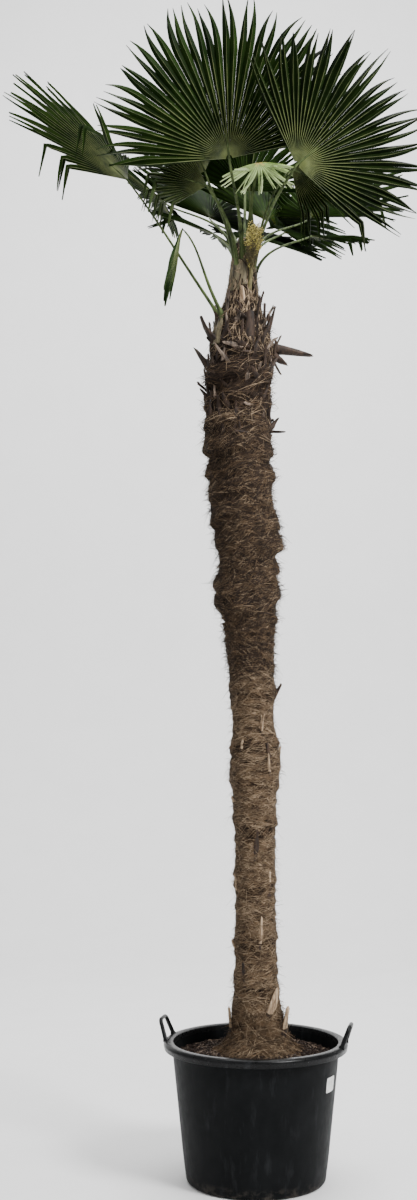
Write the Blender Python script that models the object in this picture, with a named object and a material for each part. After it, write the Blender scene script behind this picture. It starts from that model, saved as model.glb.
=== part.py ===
"""A windmill palm in a black nursery tub, in metres, +Z up.

The origin is the middle of the tub's underside. The photograph's view looks along +Y.
A lean trunk wrapped in matted fibre stands on the soil, and its crown shaft carries fan fronds:
each is a stalk with a pleated blade that is cut into leaflets from its edge inwards.
"""

import itertools
import math
from collections import namedtuple

import bmesh
import bpy
from mathutils import Matrix, Vector, noise
from mathutils.bvhtree import BVHTree

CLEAR = 0.0003  # the gap that two touching pieces keep

# Tub: radii of the outer skin, from the foot to the rolled rim
TUB_HEIGHT = 0.49
TUB_FOOT_RADIUS = 0.250
TUB_SHOULDER_RADIUS = 0.299
TUB_RIM_RADIUS = 0.330
TUB_RIM_DEPTH = 0.026
TUB_CORNER = 0.018
TUB_WALL = 0.006
TUB_SIDES = 40
DRAIN_HOLES = 5
DRAIN_RADIUS = 0.012
DRAIN_REACH = 0.170

# Handles: two loops that stand on the rim and lean outwards
HANDLE_AZIMUTHS = {"handle_left": 168.0, "handle_right": -12.0}
HANDLE_WIDTH = 0.115
HANDLE_HEIGHT = 0.070
HANDLE_LEAN = math.radians(20.0)
HANDLE_THICK = 0.011
HANDLE_DEEP = 0.015
HANDLE_SEAT_RADIUS = 0.318

# Soil: a plug that fills the tub to a little under the rim, flat under the trunk
SOIL_TOP = 0.452
SOIL_EDGE_DROP = 0.018
SOIL_FLAT_RADIUS = 0.178

# Trunk: height above the ground, sideways place of its middle, and radius with the fibre on
TRUNK_PROFILE = (
    (SOIL_TOP + CLEAR, 0.010, 0.155),
    (0.476, 0.010, 0.124),
    (0.506, 0.010, 0.104),
    (0.560, 0.009, 0.095),
    (0.630, 0.002, 0.089),
    (0.720, 0.002, 0.078),
    (0.930, -0.001, 0.073),
    (1.200, 0.001, 0.075),
    (1.340, -0.001, 0.079),
    (1.415, -0.002, 0.088),
    (1.490, 0.000, 0.091),
    (1.630, -0.005, 0.076),
    (1.710, -0.010, 0.082),
    (1.780, -0.012, 0.079),
    (1.925, -0.017, 0.090),
    (1.995, -0.016, 0.096),
    (2.060, -0.030, 0.115),
    (2.145, -0.027, 0.108),
    (2.215, -0.030, 0.105),
    (2.290, -0.027, 0.120),
    (2.365, -0.030, 0.115),
    (2.440, -0.046, 0.115),
    (2.515, -0.045, 0.122),
    (2.590, -0.054, 0.113),
    (2.700, -0.059, 0.121),
    (2.810, -0.057, 0.110),
    (2.890, -0.053, 0.119),
    (3.020, -0.046, 0.109),
    (3.110, -0.050, 0.081),
    (3.200, -0.044, 0.054),
    (3.320, -0.040, 0.036),
    (3.420, -0.038, 0.020),
)
TRUNK_RINGS = 39
TRUNK_SIDES = 18
FIBRE_RELIEF = 0.05  # share of the radius that the matted fibre swells and sinks by
RELIEF_TOP = 3.08  # above this the shaft is smooth, where stalks stand on it

# Old leaf bases left on the trunk: height, azimuth, length, lean from upright, width
OldBase = namedtuple("OldBase", "height azimuth length lean width")
OLD_BASES = (
    OldBase(0.505, -23.0, 0.120, 10.0, 0.034),
    OldBase(0.500, 190.0, 0.110, 6.0, 0.030),
    OldBase(0.560, -58.0, 0.110, 9.0, 0.036),
    OldBase(0.520, 95.0, 0.110, 10.0, 0.034),
    OldBase(0.815, -80.0, 0.120, 4.0, 0.030),
    OldBase(0.960, -42.0, 0.120, 4.0, 0.028),
    OldBase(0.800, 182.0, 0.050, 24.0, 0.026),
    OldBase(1.090, 60.0, 0.110, 5.0, 0.030),
    OldBase(1.560, -55.0, 0.100, 5.0, 0.028),
    OldBase(1.640, -115.0, 0.090, 6.0, 0.026),
    OldBase(1.700, -10.0, 0.075, 28.0, 0.022),
    OldBase(1.340, 230.0, 0.110, 6.0, 0.028),
    OldBase(2.000, 120.0, 0.090, 14.0, 0.030),
    OldBase(2.620, 30.0, 0.090, 18.0, 0.030),
    OldBase(3.010, 5.0, 0.145, 97.0, 0.034),
    OldBase(2.880, 172.0, 0.110, 30.0, 0.026),
    OldBase(3.000, 196.0, 0.130, 26.0, 0.040),
    OldBase(3.040, -12.0, 0.120, 16.0, 0.032),
    OldBase(2.960, 100.0, 0.130, 34.0, 0.034),
    OldBase(3.020, -75.0, 0.100, 12.0, 0.036),
)
OLD_BASE_THICK = 0.012

# Crown: the shaft's middle, where each stalk's azimuth, reach and rise are counted from
CROWN = Vector((-0.043, 0.0, 3.190))
FOOT_LOWEST = 3.120
FOOT_HIGHEST = 3.360
LOW_FEET = {"frond_left_long": 3.126, "frond_left_hanging": 3.122}  # old stalks that lean out
STALK_FOOT_WIDTH = 0.024
STALK_TIP_WIDTH = 0.010
STALK_DEPTH = 0.35  # half of its depth as a share of its width
STALK_RINGS = 6
LEAFLET_ANGLE = math.radians(8.2)
BLADE_THICK = 0.005
TIP_THICK = 0.0025
PLEAT = 0.009

# A frond's hub stands at azimuth, reach and rise from CROWN, and its stalk's foot on the shaft
# at its own azimuth. heading and lift point its middle leaflet, and roll turns the blade about
# that. half_span is the angle from the middle to the last leaflet, and droop the share of its
# length that a leaflet's tip sinks by.
Frond = namedtuple(
    "Frond", "name foot azimuth reach rise heading lift roll radius half_span droop"
)
SEEN_FRONDS = (
    Frond("frond_front_high", 262, 260, 0.305, 0.427, -112, 68, 21, 0.560, 88, 0.02),
    Frond("frond_right_high", -10, -66, 0.440, 0.366, 2, 40, -74, 0.530, 83, 0.02),
    Frond("frond_left_long", 190, 190, 0.430, 0.430, 215, 32, -15, 0.575, 66, 0.04),
    Frond("frond_middle_right", -85, -80, 0.150, 0.470, -96, -50, 10, 0.190, 84, 0.04),
    Frond("frond_right_low", 12, -52, 0.280, 0.355, 10, -20, -86, 0.310, 60, 0.06),
    Frond("frond_left_low", 235, 228, 0.200, 0.410, 194, 14, 74, 0.310, 48, 0.06),
    Frond("frond_left_hanging", 214, 214, 0.270, 0.220, 205, -75, 30, 0.270, 26, 0.05),
    Frond("frond_spear", 20, 20, 0.030, 0.440, 20, 85, 0, 0.420, 9, 0.00),
)

# The rest of the crown stands in tiers: how many fronds, between which azimuths
Tier = namedtuple("Tier", "name count first last reach rise lift radius droop")
TIERS = (
    Tier("frond_inner", 2, 84.0, 190.0, 0.14, 0.46, 74.0, 0.38, 0.02),
    Tier("frond_upper", 4, 36.0, 146.0, 0.36, 0.42, 48.0, 0.44, 0.04),
    Tier("frond_back", 2, 66.0, 116.0, 0.24, 0.33, 32.0, 0.32, 0.04),
    Tier("frond_middle", 2, 24.0, 54.0, 0.29, 0.28, 6.0, 0.25, 0.02),
)
TIER_ROLL = 16.0  # neighbours in a tier lie over one another like tiles
TIER_HALF_SPAN = 80.0
# What a frond that would touch another one changes, the share being that of its radius
POSE_TURNS = (0.0, 6.0, -6.0, 12.0, -12.0, 18.0, -18.0)
POSE_ROLLS = (0.0, 18.0, -18.0, 36.0, -36.0)
POSE_LIFTS = (0.0, 10.0, -10.0)
POSE_RISES = (0.0, 0.03, -0.03, 0.06)
POSE_SHARES = (1.0, 0.88, 0.76)

# Young flower cluster, on the crown's near side
FLOWER_FOOT_HEIGHT = 3.215
FLOWER_FOOT_AZIMUTH = -58.0
FLOWER_TOP = Vector((0.006, -0.084, 3.440))
FLOWER_RADIUS = 0.031
FLOWER_STALK_RADIUS = 0.008
FLOWER_SHARE = 0.58  # of the length that carries flowers

COLOURS = {
    "tub": ((0.012, 0.012, 0.013), 0.45),
    "soil": ((0.045, 0.028, 0.020), 0.95),
    "trunk": ((0.120, 0.085, 0.060), 0.95),
    "leaf": ((0.035, 0.075, 0.022), 0.45),
    "flower": ((0.700, 0.520, 0.080), 0.65),
}


def finish_named(name):
    """The finish of that name, made once."""
    material = bpy.data.materials.get(name)
    if material is None:
        colour, roughness = COLOURS[name]
        material = bpy.data.materials.new(name)
        material.use_nodes = True
        shader = material.node_tree.nodes["Principled BSDF"]
        shader.inputs["Base Color"].default_value = (*colour, 1.0)
        shader.inputs["Roughness"].default_value = roughness
        shader.inputs["Metallic"].default_value = 0.0
    return material


def make_object(name, points, faces, finish):
    """A mesh object from points and faces, its normals turned outwards."""
    mesh = bpy.data.meshes.new(name)
    mesh.from_pydata([tuple(p) for p in points], [], faces)
    edit = bmesh.new()
    edit.from_mesh(mesh)
    bmesh.ops.recalc_face_normals(edit, faces=edit.faces)
    edit.to_mesh(mesh)
    edit.free()
    obj = bpy.data.objects.new(name, mesh)
    bpy.context.scene.collection.objects.link(obj)
    mesh.materials.append(finish_named(finish))
    return obj


def apply_boolean(obj, other, operation):
    """Joins or cuts obj by other, which is then removed."""
    modifier = obj.modifiers.new(operation.lower(), "BOOLEAN")
    modifier.operation = operation
    modifier.object = other
    bpy.context.view_layer.update()
    graph = bpy.context.evaluated_depsgraph_get()
    mesh = bpy.data.meshes.new_from_object(obj.evaluated_get(graph))
    obj.modifiers.clear()
    obj.data = mesh
    bpy.data.objects.remove(other)


def mesh_lists(obj):
    """The points and faces of an object's mesh."""
    points = [vertex.co.copy() for vertex in obj.data.vertices]
    return points, [tuple(polygon.vertices) for polygon in obj.data.polygons]


def ring_skin(rings, closed_ends=True):
    """Points and faces of a skin over rings that have as many points each."""
    count = len(rings[0])
    points = [p for ring in rings for p in ring]
    faces = []
    for level in range(len(rings) - 1):
        low, high = level * count, (level + 1) * count
        for k in range(count):
            after = (k + 1) % count
            faces.append((low + k, low + after, high + after, high + k))
    if closed_ends:
        faces.append(tuple(reversed(range(count))))
        faces.append(tuple(range(len(points) - count, len(points))))
    return points, faces


def turned(name, profile, sides, finish):
    """A solid turned about Z from a closed profile of (radius, height) points, none on the axis."""
    rings = []
    for k in range(sides):
        angle = 2 * math.pi * k / sides
        rings.append([Vector((r * math.cos(angle), r * math.sin(angle), z)) for r, z in profile])
    points, faces = ring_skin(rings, closed_ends=False)
    last = (sides - 1) * len(profile)
    for k in range(len(profile)):
        after = (k + 1) % len(profile)
        faces.append((last + k, last + after, after, k))
    return make_object(name, points, faces, finish)


def arc(centre, radius, start, end, steps):
    """Points of an arc in the profile's plane, angles in degrees, both ends included."""
    angles = [math.radians(start + (end - start) * k / steps) for k in range(steps + 1)]
    return [(centre[0] + radius * math.cos(a), centre[1] + radius * math.sin(a)) for a in angles]


# Tub, handles and soil


def tub_outer_radius(height):
    """Radius of the tub's outer skin at a height under the rim."""
    share = height / (TUB_HEIGHT - TUB_RIM_DEPTH)
    return TUB_FOOT_RADIUS + (TUB_SHOULDER_RADIUS - TUB_FOOT_RADIUS) * share


def tub_inner_radius(height):
    """Radius of the tub's inner skin at a height under the rim."""
    return tub_outer_radius(height) - TUB_WALL


def build_tub():
    """The tub: a tapered wall, a rounded foot, a rolled rim and drain holes in its floor."""
    under_rim = TUB_HEIGHT - TUB_RIM_DEPTH
    lip = TUB_RIM_DEPTH / 2
    corner = (TUB_FOOT_RADIUS - TUB_CORNER, TUB_CORNER)
    inner_top = tub_inner_radius(under_rim)
    profile = arc(corner, TUB_CORNER, -90, 0, 3)
    profile += [(TUB_SHOULDER_RADIUS, under_rim)]
    profile += [(TUB_RIM_RADIUS - 0.004, under_rim - 0.004)]
    profile += arc((TUB_RIM_RADIUS - lip, TUB_HEIGHT - lip), lip, -20, 90, 3)
    profile += [(inner_top + 0.004, TUB_HEIGHT - 0.003), (inner_top, under_rim)]
    profile += [(tub_inner_radius(TUB_WALL + 0.012), TUB_WALL + 0.012)]
    profile += [(tub_inner_radius(TUB_WALL) - 0.010, TUB_WALL), (0.02, TUB_WALL)]
    profile += [(0.02, 0.0)]
    tub = turned("tub", profile, TUB_SIDES, "tub")
    fill_middle(tub, 0.021)
    for k in range(DRAIN_HOLES):
        angle = 2 * math.pi * (k + 0.36) / DRAIN_HOLES
        drill = bpy.data.meshes.new("drill")
        edit = bmesh.new()
        place = (DRAIN_REACH * math.cos(angle), DRAIN_REACH * math.sin(angle), 0.0)
        bmesh.ops.create_cone(
            edit,
            cap_ends=True,
            segments=10,
            radius1=DRAIN_RADIUS,
            radius2=DRAIN_RADIUS,
            depth=0.05,
            matrix=Matrix.Translation(place),
        )
        edit.to_mesh(drill)
        edit.free()
        cutter = bpy.data.objects.new("drill", drill)
        bpy.context.scene.collection.objects.link(cutter)
        apply_boolean(tub, cutter, "DIFFERENCE")
    return tub


def fill_middle(obj, radius):
    """Closes the small bore that a turned profile leaves round the axis."""
    edit = bmesh.new()
    edit.from_mesh(obj.data)
    inner = [f for f in edit.faces if all(math.hypot(v.co.x, v.co.y) < radius for v in f.verts)]
    bmesh.ops.delete(edit, geom=inner, context="FACES")
    open_edges = [e for e in edit.edges if e.is_boundary]
    bmesh.ops.holes_fill(edit, edges=open_edges, sides=0)
    bmesh.ops.recalc_face_normals(edit, faces=edit.faces)
    edit.to_mesh(obj.data)
    edit.free()


def handle_path():
    """The loop's middle line in its own plane, from one foot over the top to the other."""
    half, top, round_off = HANDLE_WIDTH / 2, HANDLE_HEIGHT, 0.022
    inset = 0.012
    left = arc((-half + inset + round_off, top - round_off), round_off, 175, 90, 3)
    right = [(-x, z) for x, z in reversed(left)]
    return [(-half, 0.0), (-half + inset * 0.4, top * 0.4)] + left + right + [
        (half - inset * 0.4, top * 0.4),
        (half, 0.0),
    ]


def build_handle(name, azimuth):
    """One loop handle, standing on the rim and leaning outwards."""
    path = handle_path()
    rings = []
    for k, (x, z) in enumerate(path):
        before, after = path[max(k - 1, 0)], path[min(k + 1, len(path) - 1)]
        along = Vector((after[0] - before[0], 0.0, after[1] - before[1])).normalized()
        if k in (0, len(path) - 1):
            along = Vector((0.0, 0.0, 1.0 if k == 0 else -1.0))
        across = Vector((along.z, 0.0, -along.x)) * HANDLE_THICK / 2
        deep = Vector((0.0, HANDLE_DEEP / 2, 0.0))
        middle = Vector((x, 0.0, z))
        corners = ((1, 0.55), (0.55, 1), (-0.55, 1), (-1, 0.55))
        corners += tuple((-a, -b) for a, b in corners)
        rings.append([middle + across * a + deep * b for a, b in corners])
    lean = Matrix.Rotation(HANDLE_LEAN, 4, "X")
    turn = Matrix.Rotation(math.radians(azimuth + 90.0), 4, "Z")
    seat = Matrix.Translation((0.0, -HANDLE_SEAT_RADIUS, 0.0))
    leaned = [[lean @ p for p in ring] for ring in rings]
    lowest = TUB_HEIGHT + CLEAR
    for ring in (leaned[0], leaned[-1]):
        for p in ring:
            p.z = 0.0
    lift = Matrix.Translation((0.0, 0.0, lowest))
    placed = [[lift @ turn @ seat @ p for p in ring] for ring in leaned]
    points, faces = ring_skin(placed)
    return make_object(name, points, faces, "tub")


def soil_height(x, y):
    """Top of the soil: flat under the trunk, then falling and crumbly towards the wall."""
    radius = math.hypot(x, y)
    if radius <= SOIL_FLAT_RADIUS:
        return SOIL_TOP
    wall = tub_inner_radius(SOIL_TOP)
    share = min(1.0, (radius - SOIL_FLAT_RADIUS) / (wall - SOIL_FLAT_RADIUS))
    return SOIL_TOP - SOIL_EDGE_DROP * share + 0.004 * share * noise.noise((x * 14, y * 14, 0.5))


def build_soil():
    """The plug of soil, which stands on the tub's floor and fills it to the wall."""
    rows = [(tub_inner_radius(TUB_WALL) - 0.012, TUB_WALL + CLEAR)]
    rows += [(tub_inner_radius(0.03) - CLEAR * 2, 0.03)]
    rows += [(tub_inner_radius(SOIL_TOP - SOIL_EDGE_DROP - 0.005) - CLEAR * 2, None)]
    rows += [(0.23, None)]
    rows += [(SOIL_FLAT_RADIUS, None)]
    rings = []
    for r, z in rows:
        ring = []
        for k in range(TUB_SIDES):
            angle = 2 * math.pi * k / TUB_SIDES
            x, y = r * math.cos(angle), r * math.sin(angle)
            ring.append(Vector((x, y, soil_height(x, y) if z is None else z)))
        rings.append(ring)
    points, faces = ring_skin(rings)
    return make_object("soil", points, faces, "soil")


# Trunk


def profile_at(height):
    """(sideways place, radius) of the trunk at a height, on a smooth curve through its profile."""
    rows = TRUNK_PROFILE
    k = max(i for i in range(len(rows) - 1) if rows[i][0] <= height + 1e-9)
    before, low, high = rows[max(k - 1, 0)], rows[k], rows[k + 1]
    after = rows[min(k + 2, len(rows) - 1)]
    t = min(1.0, (height - low[0]) / (high[0] - low[0]))
    found = []
    for c in (1, 2):
        rise = high[0] - low[0]
        slope_low = (high[c] - before[c]) / max(high[0] - before[0], 1e-9) * rise
        slope_high = (after[c] - low[c]) / max(after[0] - low[0], 1e-9) * rise
        found.append(
            (2 * t**3 - 3 * t**2 + 1) * low[c]
            + (t**3 - 2 * t**2 + t) * slope_low
            + (3 * t**2 - 2 * t**3) * high[c]
            + (t**3 - t**2) * slope_high
        )
    return found[0], found[1]


def trunk_point(height, angle):
    """A point on the trunk's skin, with the swell of the matted fibre."""
    middle, radius = profile_at(height)
    fade = max(0.0, min(1.0, (RELIEF_TOP - height) / 0.1))
    swell = noise.noise((math.cos(angle) * 1.3, math.sin(angle) * 1.3, height * 5.0))
    radius *= 1.0 + FIBRE_RELIEF * fade * swell
    return Vector((middle + radius * math.cos(angle), radius * math.sin(angle), height))


def build_old_base(spec):
    """The cut stump of an old leaf stalk: a flat wedge rooted in the trunk."""
    azimuth, lean = math.radians(spec.azimuth), math.radians(spec.lean)
    middle, radius = profile_at(spec.height)
    outward = Vector((math.cos(azimuth), math.sin(azimuth), 0.0))
    sideways = Vector((-math.sin(azimuth), math.cos(azimuth), 0.0))
    along = outward * math.sin(lean) + Vector((0.0, 0.0, math.cos(lean)))
    flat = outward * math.cos(lean) - Vector((0.0, 0.0, math.sin(lean)))
    root = Vector((middle, 0.0, spec.height)) + outward * (radius - 0.010)
    rings = []
    for share, width, thick in ((-0.12, 1.2, 1.5), (0.35, 1.0, 1.0), (1.0, 0.62, 0.7)):
        place = root + along * spec.length * share
        half = sideways * spec.width * width / 2
        deep = flat * OLD_BASE_THICK * thick / 2
        rings.append([place - half, place + deep * 1.3, place + half, place - deep])
    points, faces = ring_skin(rings)
    return make_object("old_base", points, faces, "trunk")


def build_trunk():
    """The trunk with its crown shaft and the old leaf bases that stand out of it."""
    low, high = TRUNK_PROFILE[0][0], TRUNK_PROFILE[-1][0]
    heights = [low, low + 0.02] + [
        low + 0.04 + (high - low - 0.04) * k / (TRUNK_RINGS - 1) for k in range(TRUNK_RINGS)
    ]
    rings = []
    for height in heights:
        angles = [2 * math.pi * k / TRUNK_SIDES for k in range(TRUNK_SIDES)]
        rings.append([trunk_point(height, angle) for angle in angles])
    points, faces = ring_skin(rings)
    trunk = make_object("trunk", points, faces, "trunk")
    for spec in OLD_BASES:
        apply_boolean(trunk, build_old_base(spec), "UNION")
    return trunk


# Fronds


def blade_frame(frond):
    """(hub, along, side, upper): where the blade starts and its three directions."""
    azimuth, heading = math.radians(frond.azimuth), math.radians(frond.heading)
    lift, roll = math.radians(frond.lift), math.radians(frond.roll)
    reach = Vector((math.cos(azimuth), math.sin(azimuth), 0.0)) * frond.reach
    hub = CROWN + reach + Vector((0.0, 0.0, frond.rise))
    along = Vector(
        (math.cos(heading) * math.cos(lift), math.sin(heading) * math.cos(lift), math.sin(lift))
    )
    level = Vector((0.0, 0.0, 1.0)).cross(along).normalized()
    upper = along.cross(level)
    side = level * math.cos(roll) + upper * math.sin(roll)
    return hub, along, side, along.cross(side)


class Blade:
    """The pleated fan of one frond: its joined part out to the notches, and a tip per leaflet."""

    def __init__(self, frond):
        self.frond = frond
        self.hub, self.along, self.side, self.upper = blade_frame(frond)
        self.half_span = math.radians(frond.half_span)
        self.count = max(3, round(2 * self.half_span / LEAFLET_ANGLE))
        step = 2 * self.half_span / self.count
        self.notch_angles = [-self.half_span + step * k for k in range(self.count + 1)]
        self.ridge_angles = [angle + step / 2 for angle in self.notch_angles[:-1]]
        self.notches = [self.place(a, self.notch_radius(a), -PLEAT) for a in self.notch_angles]
        self.ridges = [self.place(a, self.notch_radius(a), PLEAT) for a in self.ridge_angles]
        self.tips = [self.place(a, self.length(a), PLEAT / 2) for a in self.ridge_angles]

    def length(self, angle):
        """A leaflet's length: the side ones are shorter."""
        share = abs(angle) / self.half_span
        return self.frond.radius * (1.0 - 0.24 * share**2.5)

    def notch_radius(self, angle):
        """How far out the leaflets stay joined."""
        share = abs(angle) / self.half_span
        return self.frond.radius * (0.60 - 0.22 * share**2)

    def place(self, angle, radius, raise_by=0.0):
        """A point of the blade at an angle from its middle leaflet and a distance from the hub."""
        flat = self.along * math.cos(angle) + self.side * math.sin(angle)
        share = radius / self.frond.radius
        sunk = self.frond.droop * self.frond.radius * share**2
        bowed = 0.10 * radius * math.sin(angle) ** 2
        point = self.hub + flat * radius + self.upper * (raise_by - bowed)
        return point - Vector((0.0, 0.0, sunk))

    def lowered(self, point, thick):
        """The point of the underside that lies below a point of the upper side."""
        return point - self.upper * thick

    def both_sides(self, triangles):
        """The triangles of the upper side with those of the underside below them."""
        low = [tuple(self.lowered(p, BLADE_THICK * 1.6) for p in t) for t in triangles]
        return triangles + low

    def joined_faces(self):
        """Triangles of the joined part, as points, for tests against other fronds."""
        found = []
        for k in range(self.count):
            for a, b in ((self.notches[k], self.ridges[k]), (self.ridges[k], self.notches[k + 1])):
                found.append((self.hub, a, b))
        return self.both_sides(found)

    def tip_faces(self, k, tip):
        """Triangles of one leaflet's free tip."""
        a, m, b = self.notches[k], self.ridges[k], self.notches[k + 1]
        return self.both_sides([(a, tip, m), (m, tip, b)])

    def bent_tip(self, k, angle, share):
        """The tip turned up or down by an angle where it leaves the joined part, and shortened."""
        root = (self.notches[k] + self.notches[k + 1]) / 2
        across = (self.notches[k + 1] - self.notches[k]).normalized()
        return root + Matrix.Rotation(angle, 3, across) @ (self.tips[k] - root) * share

    def solid(self):
        """Points and faces of the blade as a closed thin solid."""
        hub_low = self.lowered(self.hub, BLADE_THICK * 1.6)
        points, faces = [self.hub, hub_low], []
        top_of, low_of = {}, {}

        def add(key, point, thick):
            top_of[key], low_of[key] = len(points), len(points) + 1
            points.extend((point, self.lowered(point, thick)))

        top_of["hub"], low_of["hub"] = 0, 1
        for k, point in enumerate(self.notches):
            add(("notch", k), point, BLADE_THICK)
        for k in range(self.count):
            add(("ridge", k), self.ridges[k], BLADE_THICK)
            add(("tip", k), self.tips[k], TIP_THICK)
        rim = ["hub", ("notch", 0)]
        for k in range(self.count):
            a, m, t, b = ("notch", k), ("ridge", k), ("tip", k), ("notch", k + 1)
            for corners in (("hub", a, m), ("hub", m, b), (a, t, m), (m, t, b)):
                faces.append(tuple(top_of[c] for c in corners))
                faces.append(tuple(low_of[c] for c in reversed(corners)))
            rim += [t, b]
        for a, b in zip(rim, rim[1:] + rim[:1]):
            faces.append((top_of[a], low_of[a], low_of[b]))
            faces.append((top_of[a], low_of[b], top_of[b]))
        return points, faces


def shaft_seat(shaft, height, outward, half_depth):
    """Where a stalk's middle stands so that its inner side just clears the shaft."""
    middle, _ = profile_at(height)
    start = Vector((middle, 0.0, height)) + outward * 0.5
    return shaft.ray_cast(start, -outward)[0] + outward * (half_depth + CLEAR * 1.5)


def stalk_line(frond, foot_height, shaft):
    """Middle line of the stalk, from its foot on the shaft to just past the hub."""
    hub, along, _, upper = blade_frame(frond)
    azimuth = math.radians(frond.foot)
    outward = Vector((math.cos(azimuth), math.sin(azimuth), 0.0))
    foot = shaft_seat(shaft, foot_height, outward, STALK_FOOT_WIDTH * STALK_DEPTH * 0.9)
    hub = hub - upper * BLADE_THICK * 0.72
    chord = (hub - foot).length
    leaning = 0.70 if frond.name in LOW_FEET else 0.22
    leave = foot + (Vector((0.0, 0.0, 1.0)) + outward * leaning) * chord * 0.42
    arrive = hub - ((hub - foot).normalized() * 0.7 + along * 0.3).normalized() * chord * 0.30
    line = []
    for k in range(STALK_RINGS):
        t = k / (STALK_RINGS - 1)
        line.append(
            foot * (1 - t) ** 3
            + leave * 3 * t * (1 - t) ** 2
            + arrive * 3 * t**2 * (1 - t)
            + hub * t**3
        )
    return line + [hub + (along - upper * 0.02) * 0.05]


def stalk_skin(frond, line):
    """Points and faces of the stalk: a slim bar that tapers and turns flat under the blade."""
    _, _, blade_side, _ = blade_frame(frond)
    azimuth = math.radians(frond.foot)
    foot_side = Vector((-math.sin(azimuth), math.cos(azimuth), 0.0))
    if foot_side.dot(blade_side) < 0:
        blade_side = -blade_side
    rings = []
    for k, place in enumerate(line):
        before, after = line[max(k - 1, 0)], line[min(k + 1, len(line) - 1)]
        along = (after - before).normalized()
        if k == 0:
            along = Vector((0.0, 0.0, 1.0))
        share = min(1.0, k / (STALK_RINGS - 1))
        side = foot_side.lerp(blade_side, share**2)
        side = (side - along * side.dot(along)).normalized()
        out = side.cross(along)
        width = STALK_FOOT_WIDTH + (STALK_TIP_WIDTH - STALK_FOOT_WIDTH) * math.sqrt(share)
        if k == len(line) - 1:
            width *= 0.3
        half, deep = side * width / 2, out * width * STALK_DEPTH
        rings.append([place - half, place - deep * 0.9, place + half, place + deep])
    return ring_skin(rings)


def faces_as_points(points, faces):
    """Triangles of a mesh as tuples of points."""
    found = []
    for face in faces:
        for k in range(1, len(face) - 1):
            found.append((points[face[0]], points[face[k]], points[face[k + 1]]))
    return found


def tree_of(triangles):
    """A search tree over triangles that are given as points."""
    points = [p for triangle in triangles for p in triangle]
    faces = [(k, k + 1, k + 2) for k in range(0, len(points), 3)]
    return BVHTree.FromPolygons(points, faces)


def thickened(triangles, upper):
    """Copies of the triangles on both sides of them, so that a test keeps its distance."""
    found = []
    for share in (-1.0, -0.5, 0.0, 0.5, 1.0):
        shift = upper * share * TEST_DISTANCE
        found += [tuple(p + shift for p in triangle) for triangle in triangles]
    return found


TIP_BENDS = [math.radians(a) for a in (0, -7, 7, -14, 14, -22, 22, -32, 32)]
TIP_SHARES = (1.0, 0.8, 0.6, 0.4, 0.2, 0.08)
TEST_DISTANCE = 0.008


def settle_tips(blades, stalks, solid_faces):
    """Bends or shortens each leaflet's tip that would touch another frond or a solid."""
    own = {b.frond.name: b.joined_faces() + s for b, s in zip(blades, stalks)}
    grown = {blade.frond.name: [] for blade in blades}
    for blade in blades:
        name = blade.frond.name
        others = [t for other in own if other != name for t in own[other] + grown[other]]
        search = tree_of(others + solid_faces)
        for k in range(blade.count):
            tries = [(bend, share) for share in TIP_SHARES for bend in TIP_BENDS]
            for bend, share in tries:
                tip = blade.bent_tip(k, bend, share)
                faces = thickened(blade.tip_faces(k, tip), blade.upper)
                if not tree_of(faces).overlap(search):
                    break
            blade.tips[k] = tip
            grown[name] += blade.tip_faces(k, tip)


def tier_fronds(tier):
    """The fronds of one tier as they would stand if nothing were in their way."""
    found = []
    for k in range(tier.count):
        azimuth = tier.first + (tier.last - tier.first) * k / (tier.count - 1)
        found.append(
            Frond(
                name=f"{tier.name}_{k + 1}",
                foot=azimuth,
                azimuth=azimuth,
                reach=tier.reach,
                rise=tier.rise + 0.02 * (k % 2),
                heading=azimuth,
                lift=tier.lift - 6.0 * (k % 2),
                roll=TIER_ROLL,
                radius=tier.radius,
                half_span=TIER_HALF_SPAN,
                droop=tier.droop,
            )
        )
    return found


def pose_changes():
    """Every change of pose, the smallest first."""
    lists = (POSE_TURNS, POSE_ROLLS, POSE_LIFTS, POSE_RISES, POSE_SHARES)
    weights = (1, 1, 1, 1, 3)

    def cost(picks):
        return sum(w * ((pick + 1) // 2) for w, pick in zip(weights, picks))

    picks = sorted(itertools.product(*(range(len(values)) for values in lists)), key=cost)
    return [tuple(values[pick] for values, pick in zip(lists, found)) for found in picks]


def foot_height_of(frond):
    """Height of a stalk's foot: the fronds that stand steeper sit higher on the shaft."""
    if frond.name in LOW_FEET:
        return LOW_FEET[frond.name]
    share = min(1.0, max(0.0, (frond.rise + 0.05) / 0.5))
    return FOOT_LOWEST + (FOOT_HIGHEST - FOOT_LOWEST) * share


def place_fronds(shaft, solid_faces):
    """(blade, stalk skin) of every frond, none of their joined parts touching another."""
    placed, faces_so_far = [], list(solid_faces)
    wanted = list(SEEN_FRONDS) + [frond for tier in TIERS for frond in tier_fronds(tier)]
    changes = pose_changes()
    for frond in wanted:
        search = tree_of(faces_so_far)
        for turn, roll, lift, rise, share in changes:
            tried = frond._replace(
                foot=frond.foot + turn,
                azimuth=frond.azimuth + turn,
                rise=frond.rise + rise,
                heading=frond.heading + turn,
                roll=frond.roll + roll,
                lift=frond.lift + lift,
                radius=frond.radius * share,
            )
            blade = Blade(tried)
            skin = stalk_skin(tried, stalk_line(tried, foot_height_of(tried), shaft))
            stalk = faces_as_points(*skin)
            faces = thickened(blade.joined_faces(), blade.upper) + stalk
            if not tree_of(faces).overlap(search):
                placed.append((blade, skin))
                faces_so_far += blade.joined_faces() + stalk
                break
    return placed


def build_fronds(shaft, solids):
    """Every frond as one solid, its stalk joined to its blade and clear of the given solids."""
    solid_faces = [t for obj in solids for t in faces_as_points(*mesh_lists(obj))]
    placed = place_fronds(shaft, solid_faces)
    stalks = [faces_as_points(*skin) for _, skin in placed]
    settle_tips([blade for blade, _ in placed], stalks, solid_faces)
    for blade, skin in placed:
        frond = make_object(blade.frond.name, *blade.solid(), "leaf")
        stalk = make_object("stalk", *skin, "leaf")
        apply_boolean(frond, stalk, "UNION")


# Flowers


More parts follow.
